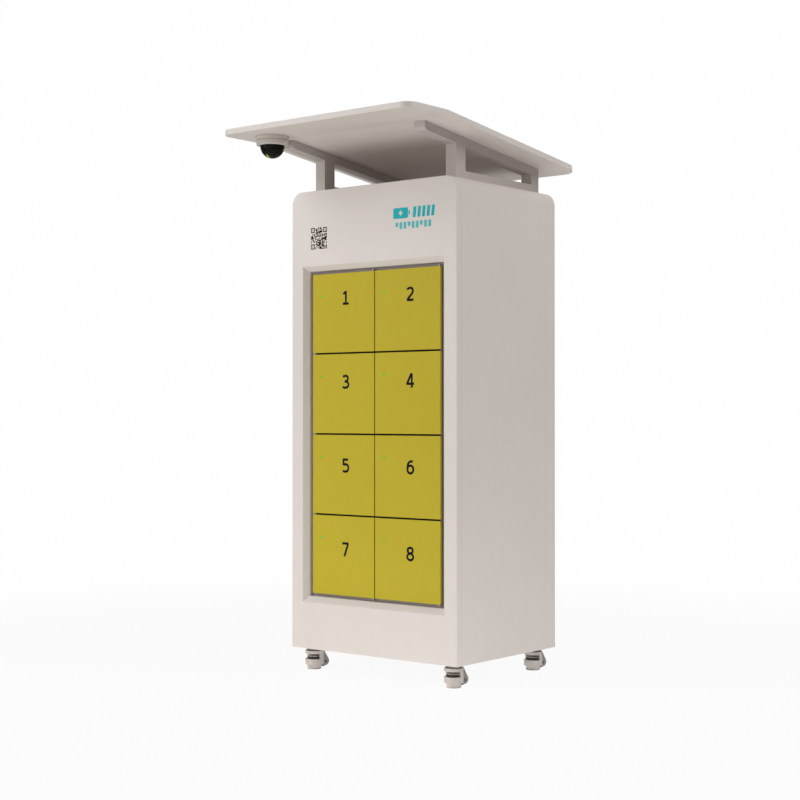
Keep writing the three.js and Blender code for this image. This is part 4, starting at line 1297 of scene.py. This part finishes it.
def castor_foot(tag, body, centre):
    """Rubber-faced pad and its screw."""
    box = box_of(body)
    radius = (box.x1 - box.x0) / 2
    pad = [(1, -63.0), (radius - 1.4, -63.0), (radius, -64.4), (radius, -67.4),
           (radius - 0.4, -67.7), (radius - 0.4, -68.2), (radius, -68.5), (radius, -78.8),
           (radius - 1.2, -80.0), (radius - 3.6, -80.0), (radius - 4.2, -79.2), (1, -79.2)]
    place_detail(turned(at_z, centre, rounded_profile(pad, 0.5), PAD_RUBBER, 72),
                 "castor_pad_" + tag, body, body, angle=35)
    screw = [(1, -30.0), (6.6, -30.0)]
    for turn in range(15):
        z = -31.0 - 2.0 * turn
        screw += [(7.95, z), (7.95, z - 0.25), (7.1, z - 0.9), (7.1, z - 1.15)]
    screw += [(7.95, -62.0), (7.95, -63.4), (11.0, -64.0), (11.0, -66.2), (1, -66.2)]
    place_detail(turned(at_z, centre, screw, ZINC_STEEL, 40), "castor_screw_" + tag, body,
                 angle=30)


HEAD = "castor_head_"
for node in [name for name in NODES if name.startswith(HEAD)]:
    tag = node[len(HEAD):]
    head, wheel = box_of(node), box_of("castor_wheel_" + tag)
    centre = ((head.x0 + head.x1) / 2, (head.y0 + head.y1) / 2)
    axle = ((wheel.y0 + wheel.y1) / 2, (wheel.z0 + wheel.z1) / 2)
    swivel = "castor_housing_" + tag
    castor_mounting(node, centre)
    place(castor_housing(centre, axle), swivel + "_casting", swivel, swivel, angle=28)
    castor_axle(tag, swivel, centre[0], axle)
    castor_wheel(tag, "castor_wheel_" + tag, centre[0], axle, (wheel.z1 - wheel.z0) / 2,
                 (wheel.x1 - wheel.x0) / 2)
    castor_thumbwheel(tag, "castor_thumbwheel_" + tag, centre)
    castor_foot(tag, "castor_foot_" + tag, centre)

# ------------------------------------------------------------------ rear service door
REAR_GAP = 4.6
REAR_Z0, REAR_Z1 = REAR.z0 + REAR_GAP, REAR.z1 - REAR_GAP
LOCK = (-310.0, 820.0)                           # x and z of the handle's shaft
SLOT_W, SLOT_H, SLOT_PITCH = 160, 8, 24          # louvre slots, in rows of five


def louvre_hood(x0, x1, z):
    """Pressed hood over a slot whose bottom is at z, open downwards."""
    across, along = 10, 26
    base_y = REAR.y1 + 0.02
    loops = []
    for i in range(along + 1):
        t = i / along
        x = x0 - 3 + (x1 - x0 + 6) * t
        bulge = math.sin(min(1.0, min(t, 1 - t) * 14) * math.pi / 2)
        outside, inside = [], []
        for j in range(across + 1):
            a = math.pi / 2 * j / across
            outside.append((x, base_y + 5.6 * bulge * math.cos(a), z - 1.0 + 13.0 * math.sin(a)))
            inside.append((x, base_y + max(5.6 * bulge - 1.1, 0.0) * math.cos(a),
                           z - 1.0 + 11.8 * math.sin(a)))
        loops.append(outside + inside[::-1])
    bm = bmesh.new()
    loft(bm, loops)
    bmesh.ops.remove_doubles(bm, verts=bm.verts, dist=0.0005)
    return mesh_object(bm, BODY_PAINT)


rear_door = door_pan((REAR.x0, REAR.x1, REAR_Z0, REAR_Z1), 2.5,
                     (REAR.x0 + 2, REAR.x1 - 15, REAR_Z0 + 2, REAR_Z1 - 2), 2.0,
                     REAR.y1, REAR.y0, fillet=1.8, sheet=2.0, mat=BODY_PAINT)
hoods = []
for bottom in (150.0, 1380.0):
    for mid_x in (-130, 130):
        for i in range(5):
            z = bottom + i * SLOT_PITCH
            x0, x1 = mid_x - SLOT_W / 2, mid_x + SLOT_W / 2
            cut(rear_door, block(x0, x1, REAR.y1 - 8, REAR.y1 + 8, z, z + SLOT_H))
            hoods.append(louvre_hood(x0, x1, z))
cut(rear_door, drum(at_y, LOCK, 6.6, REAR.y0 - 5, REAR.y1 + 5, 40))
place(rear_door, "rear_door_skin", "rear_door", "rear_door", angle=30)
place_detail(merged(hoods), "rear_door_louvres", "rear_door", angle=40)
pins = [hinge_pin(REAR_PIVOT, start, end, 3.0, 0.5, 32)
        for start, end in ((REAR_Z1 - 4, REAR_Z1 + REAR_GAP), (REAR_Z0 + 4, REAR_Z0 - REAR_GAP))]
place_detail(merged(pins), "rear_door_pins", "rear_door", angle=35)
ROSE = [(6.7, 0.02), (17, 0.02), (17, 0.45), (6.7, 0.45), (6.7, 0.05)]  # (radius, y off the door)
place_detail(turned(at_y, LOCK, rounded_profile(shifted(ROSE, REAR.y1), 0.15), ZINC_STEEL, 64,
                    closed=True), "rear_lock_rose", "rear_door", angle=35)

# foam seal behind the door, on the cabinet's rear flange: one side, top and bottom
SEAL_BARS = [                                    # x0, x1, z0, z1
    (-OPEN_X - 11, -OPEN_X - 3, OPEN_Z0 - 11, OPEN_Z1 + 11),
    (-OPEN_X - 2.9, OPEN_X - 6, OPEN_Z1 + 3, OPEN_Z1 + 11),
    (-OPEN_X - 2.9, OPEN_X - 6, OPEN_Z0 - 11, OPEN_Z0 - 3),
]
BAR_SECTION = [(0, 0.03), (0, 2.4), (0.6, 3.3), (1.8, 3.7)]  # (inset, y off the back)
place_detail(solid(FOAM, *[
    [at_y(rounded_rect(x0 + t, x1 - t, z0 + t, z1 - t, 2.0, 4), y)
     for t, y in shifted(BAR_SECTION, BACK_Y)]
    for x0, x1, z0, z1 in SEAL_BARS]), "rear_door_seal", "cabinet", angle=40)

# handle: grip and hub, shaft and cam, key face
lock_x, lock_z = LOCK
HANDLE_HUB = [(1, 610.6), (13, 610.6), (13, 619.6), (1, 619.6)]  # (radius, y)
KEY_FACE = [(5.4, 628.02), (5.4, 628.7), (4.8, 629.1), (1.8, 629.1), (1.6, 628.4), (0.3, 628.4)]
grip = [prism(rounded_rect(lock_x - 9, lock_x + 9, lock_z - 96, lock_z + 13, [7, 8.6, 8.6, 7], 8),
              at_y, 618.0, 628.0, HANDLE_BLACK, 2.2),
        turned(at_y, LOCK, rounded_profile(HANDLE_HUB, 0.8), HANDLE_BLACK, 56)]
place_detail(merged(grip), "rear_handle_grip", "rear_door_handle", "rear_door_handle", angle=32)
shaft = [drum(at_y, LOCK, 6, 586.0, 611.0, 32, PIN_STEEL),
         prism(rounded_rect(lock_x - 8, lock_x + 8, lock_z - 8, lock_z + 32, 3, 5), at_y,
               587.0, 590.5, PIN_STEEL, 0.4)]
place_detail(merged(shaft), "rear_handle_cam", "rear_door_handle", angle=32)
place_detail(turned(at_y, LOCK, KEY_FACE, ZINC_STEEL, 40), "rear_handle_key", "rear_door_handle",
             angle=32)

# ------------------------------------------------------------------ wiring inside
PLANE_Y = box_of("connector_backplane").y1       # rear face of the backplane
UNIT = box_of("charger_control_unit")
LOOM_X, LANE_PITCH = 34, 8                       # a loom's first lane from the plugs, lane spacing
TIE_Z = (420, 700, 990, 1280)


def cable(points, radius, bend, mat, count=12):
    """A round wire through points, its corners rounded to about bend."""
    points = [Vector(point) for point in points]
    path = [points[0]]
    for before, corner, after in zip(points, points[1:], points[2:]):
        reach = min(bend, (corner - before).length * 0.48, (after - corner).length * 0.48)
        enter = corner + (before - corner).normalized() * reach
        leave = corner + (after - corner).normalized() * reach
        for i in range(7):
            t = i / 6
            path.append(enter * (1 - t) ** 2 + corner * 2 * t * (1 - t) + leave * t ** 2)
    path.append(points[-1])
    loops = []
    across = None
    for i, point in enumerate(path):
        along = (path[min(i + 1, len(path) - 1)] - path[max(i - 1, 0)]).normalized()
        if across is None:
            across = along.orthogonal().normalized()
        across = (across - along * across.dot(along)).normalized()
        side = along.cross(across)
        loops.append([tuple(point + across * (radius * math.cos(a)) + side * (radius * math.sin(a)))
                      for a in [2 * math.pi * k / count for k in range(count)]])
    return solid(mat, loops)


def opening_x(door):
    return (door.x0 + OPENING_LEFT + door.x1 - OPENING_RIGHT) / 2


def loom_side(door):
    """Each column's loom hangs on the side towards the middle of the cabinet."""
    return -1 if door.column else 1


cables, plugs = [], []
for door in DOORS:
    x, z = opening_x(door), door.z0 + 52
    plugs.append(block(x - 15, x + 15, PLANE_Y + 0.1, PLANE_Y + 9, z - 9, z + 9, BLACK, 0.8))
    lane = x + loom_side(door) * (LOOM_X + LANE_PITCH * door.row)
    end_z = UNIT.z0 + 30 + 6 * door.row
    for mat, offset in ((CABLE_BLACK, -4.0), (CABLE_RED, 4.0)):
        drop_x = lane + offset * 0.55
        cables.append(cable([(x + offset, PLANE_Y + 8.5, z), (x + offset, PLANE_Y + 14, z),
                             (drop_x, PLANE_Y + 14, z + 14), (drop_x, PLANE_Y + 14, end_z),
                             (drop_x, UNIT.y1 + 0.6, end_z)], 1.8, 10, mat))
place(merged(plugs), "backplane_plugs", "cabinet")
place_detail(merged(cables), "backplane_cables", "cabinet", angle=50)

ties = []
for door in DOORS[:2]:                           # one loom to a column
    x0, x1 = sorted(opening_x(door) + loom_side(door) * reach
                    for reach in (LOOM_X - 5, LOOM_X + 3 * LANE_PITCH + 5))
    for z in TIE_Z:
        ties.append(prism(rounded_rect(x0, x1, PLANE_Y + 11.4, PLANE_Y + 16.8, 2.4, 5), at_z,
                          z, z + 4, BLACK, 0.3))
place(merged(ties), "cable_ties", "cabinet")

# ------------------------------------------------------------------ fans behind the control unit
FAN_HALF = 40


def fan(x, z):
    """Square frame, ring grille with two crossed bars, and four screws."""
    face = UNIT.y1
    body = prism(rounded_rect(x - FAN_HALF, x + FAN_HALF, z - FAN_HALF, z + FAN_HALF, 6), at_y,
                 face + 0.05, face + 3.2, BLACK, 0.6)
    parts = [cut(body, drum(at_y, (x, z), 36, face - 2, face + 6, 64))]
    for radius in (8.0, 15.0, 22.0, 29.0):
        parts.append(collar(at_y, (x, z), radius - 0.9, radius + 0.9, face + 2.0, face + 3.4, 56,
                            PIN_STEEL))
    for angle in (45, 135):
        cosine, sine = math.cos(math.radians(angle)), math.sin(math.radians(angle))
        bar = [(x + along * cosine - across * sine, z + along * sine + across * cosine)
               for along, across in ((-37, -0.9), (37, -0.9), (37, 0.9), (-37, 0.9))]
        parts.append(prism(bar, at_y, face + 3.3, face + 4.6, PIN_STEEL, 0.2))
    for screw_x in (x - 35, x + 35):
        for screw_z in (z - 35, z + 35):
            parts.append(bolt_head(at_y, (screw_x, screw_z), face + 3.2, face + 4.9, 2.4,
                                   PIN_STEEL))
    return merged(parts)


for i, x in enumerate((-120.0, 0.0, 120.0)):
    place(fan(x, (UNIT.z0 + UNIT.z1) / 2 - 6), "unit_fan_%d" % (i + 1), "cabinet", angle=35)

# ------------------------------------------------------------------ CAD nodes that stay
KEPT = {                                         # node: (material, edge bevel in mm)
    "base_tray": (GALVANISED, 0.5),
    "door_frame": (FRAME_PAINT, 0.5),
    "compartment_rack": (GALVANISED, 0.0),
    "connector_backplane": (BLACK, 0.5),
    "charger_control_unit": (UNIT_CASING, 0.6),
}
KEPT.update({"lock_%d" % number: (LOCK_PAINT, 0.6) for number in range(1, 9)})
for node, (mat, bevel) in KEPT.items():
    obj = NODES[node]
    obj.data.materials.clear()
    obj.data.materials.append(mat)
    if bevel:
        edge_bevel(obj, bevel, segments=2, angle=40)
        weight_normals(obj)

# ------------------------------------------------------------------ floor
BACKGROUND = (0.997, 0.997, 0.997, 1)
NEAR_PLAIN = 0.93                                # share of plain background seen near the feet
FAR_GLOW = 0.19                                  # light the far floor gives the object
FADE = (1.2, 4.2)                                # metres over which the floor turns plain


def floor_material():
    """Pale floor near the object that fades into the plain background with distance."""
    material = bpy.data.materials.new("pale_floor")
    material.use_nodes = True
    tree = material.node_tree
    tree.nodes.clear()

    def blend(factor, first, second):
        return add_node(tree, "MixShader", {0: factor, 1: first, 2: second}).outputs[0]

    output = add_node(tree, "OutputMaterial")
    coords = add_node(tree, "TexCoord").outputs["Object"]
    distance = add_node(tree, "VectorMath", {0: coords}, operation="LENGTH").outputs["Value"]
    fade = add_node(tree, "MapRange", {"From Min": FADE[0], "From Max": FADE[1],
                                       "Value": distance},
                    interpolation_type="SMOOTHERSTEP").outputs["Result"]
    cloud = add_node(tree, "TexNoise", {"Scale": 3.0, "Detail": 4.0, "Vector": coords})
    pale = add_node(tree, "Mix", {0: cloud.outputs["Fac"], 6: (0.86, 0.855, 0.85, 1),
                                  7: (0.89, 0.887, 0.883, 1)}, data_type="RGBA").outputs[2]
    matt = add_node(tree, "BsdfDiffuse", {"Color": pale}).outputs[0]
    plain = add_node(tree, "Emission", {"Color": BACKGROUND, "Strength": 1.0}).outputs[0]
    is_camera = add_node(tree, "LightPath").outputs["Is Camera Ray"]
    # the camera sees mostly plain background, with a faint shadow near the feet
    share = add_node(tree, "MapRange", {"To Min": NEAR_PLAIN, "To Max": 1.0, "Value": fade})
    seen = blend(share.outputs["Result"], matt, plain)
    glow = add_node(tree, "Emission", {"Strength": FAR_GLOW}).outputs[0]
    lit = blend(fade, matt, glow)
    tree.links.new(blend(is_camera, lit, seen), output.inputs["Surface"])
    return material


def floor_disc():
    """Flat rings of growing radius, in metres."""
    count = 64
    bm = bmesh.new()
    rings = [[bm.verts.new(point) for point in ring(at_z, (0.0, 0.0), radius, 0.0, count)]
             for radius in (0.05, 1.0, 2.0, 4.0, 8.0, 20.0, 60.0)]
    bm.faces.new(rings[0])
    for a, b in zip(rings, rings[1:]):
        for i in range(count):
            j = (i + 1) % count
            bm.faces.new((a[i], a[j], b[j], b[i]))
    return mesh_object(bm, floor_material())


floor = floor_disc()
floor.name = floor.data.name = "studio_floor"
floor.location = (0, 0, cad_low.z - 0.0003)

# ------------------------------------------------------------------ world, lights and camera
world = bpy.data.worlds.new("studio")
bpy.context.scene.world = world
world.use_nodes = True
tree = world.node_tree
tree.nodes.clear()
output = add_node(tree, "OutputWorld")
is_camera = add_node(tree, "LightPath").outputs["Is Camera Ray"]
seen = add_node(tree, "Background", {"Color": BACKGROUND}).outputs[0]
lit = add_node(tree, "Background", {"Color": (1.0, 1.0, 1.0, 1), "Strength": 0.02}).outputs[0]
mixed = add_node(tree, "MixShader", {0: is_camera, 1: lit, 2: seen})
tree.links.new(mixed.outputs[0], output.inputs["Surface"])

LIGHTS = [                                       # name, location, target, size (m), watts
    ("front_left", (-3.4, -4.8, 2.6), (0, 0, 0.9), (3.0, 3.0), 78),
    ("front_high", (-2.7, -3.4, 4.7), (0, 0, 0.6), (2.4, 2.4), 120),
    ("front_mid", (-0.6, -4.8, 0.7), (0, 0, 0.7), (3.4, 1.4), 28),
    ("near_camera", (3.2, -4.4, 1.4), (0, 0, 0.9), (2.4, 2.4), 10),
    ("right_high", (4.2, 0.5, 4.2), (0, 0, 0.9), (3.0, 3.0), 128),
    ("back", (-0.5, 5.0, 2.6), (0, 0, 1.0), (3.4, 3.0), 60),
    ("floor_glow", (0, 0, 0.002), (0, 0, 1.0), (4.4, 4.4), 31),
]
for name, location, target, size, watts in LIGHTS:
    light = bpy.data.lights.new(name, "AREA")
    light.shape = "RECTANGLE"
    light.size, light.size_y = size
    light.energy = watts
    obj = bpy.data.objects.new(name, light)
    obj.location = location
    aim = Vector(target) - Vector(location)
    obj.rotation_euler = aim.to_track_quat("-Z", "Y").to_euler()
    obj.visible_camera = False
    SCENE_OBJECTS.link(obj)

CAMERA_PLACE = (3529.0, -4209.2, 847.8)          # in the working frame
CAMERA_TILT, CAMERA_TURN = 90.511, 38.92         # degrees from straight down, and about z
camera = bpy.data.cameras.new("camera")
camera.lens = 70.63
camera.sensor_width = 36.0
camera.clip_end = 200
camera_object = bpy.data.objects.new("camera", camera)
camera_object.location = to_scene(CAMERA_PLACE)
camera_object.rotation_euler = (math.radians(CAMERA_TILT), 0.0, math.radians(CAMERA_TURN))
SCENE_OBJECTS.link(camera_object)
bpy.context.scene.camera = camera_object
bpy.context.scene.view_settings.view_transform = "Standard"

bpy.context.view_layer.update()
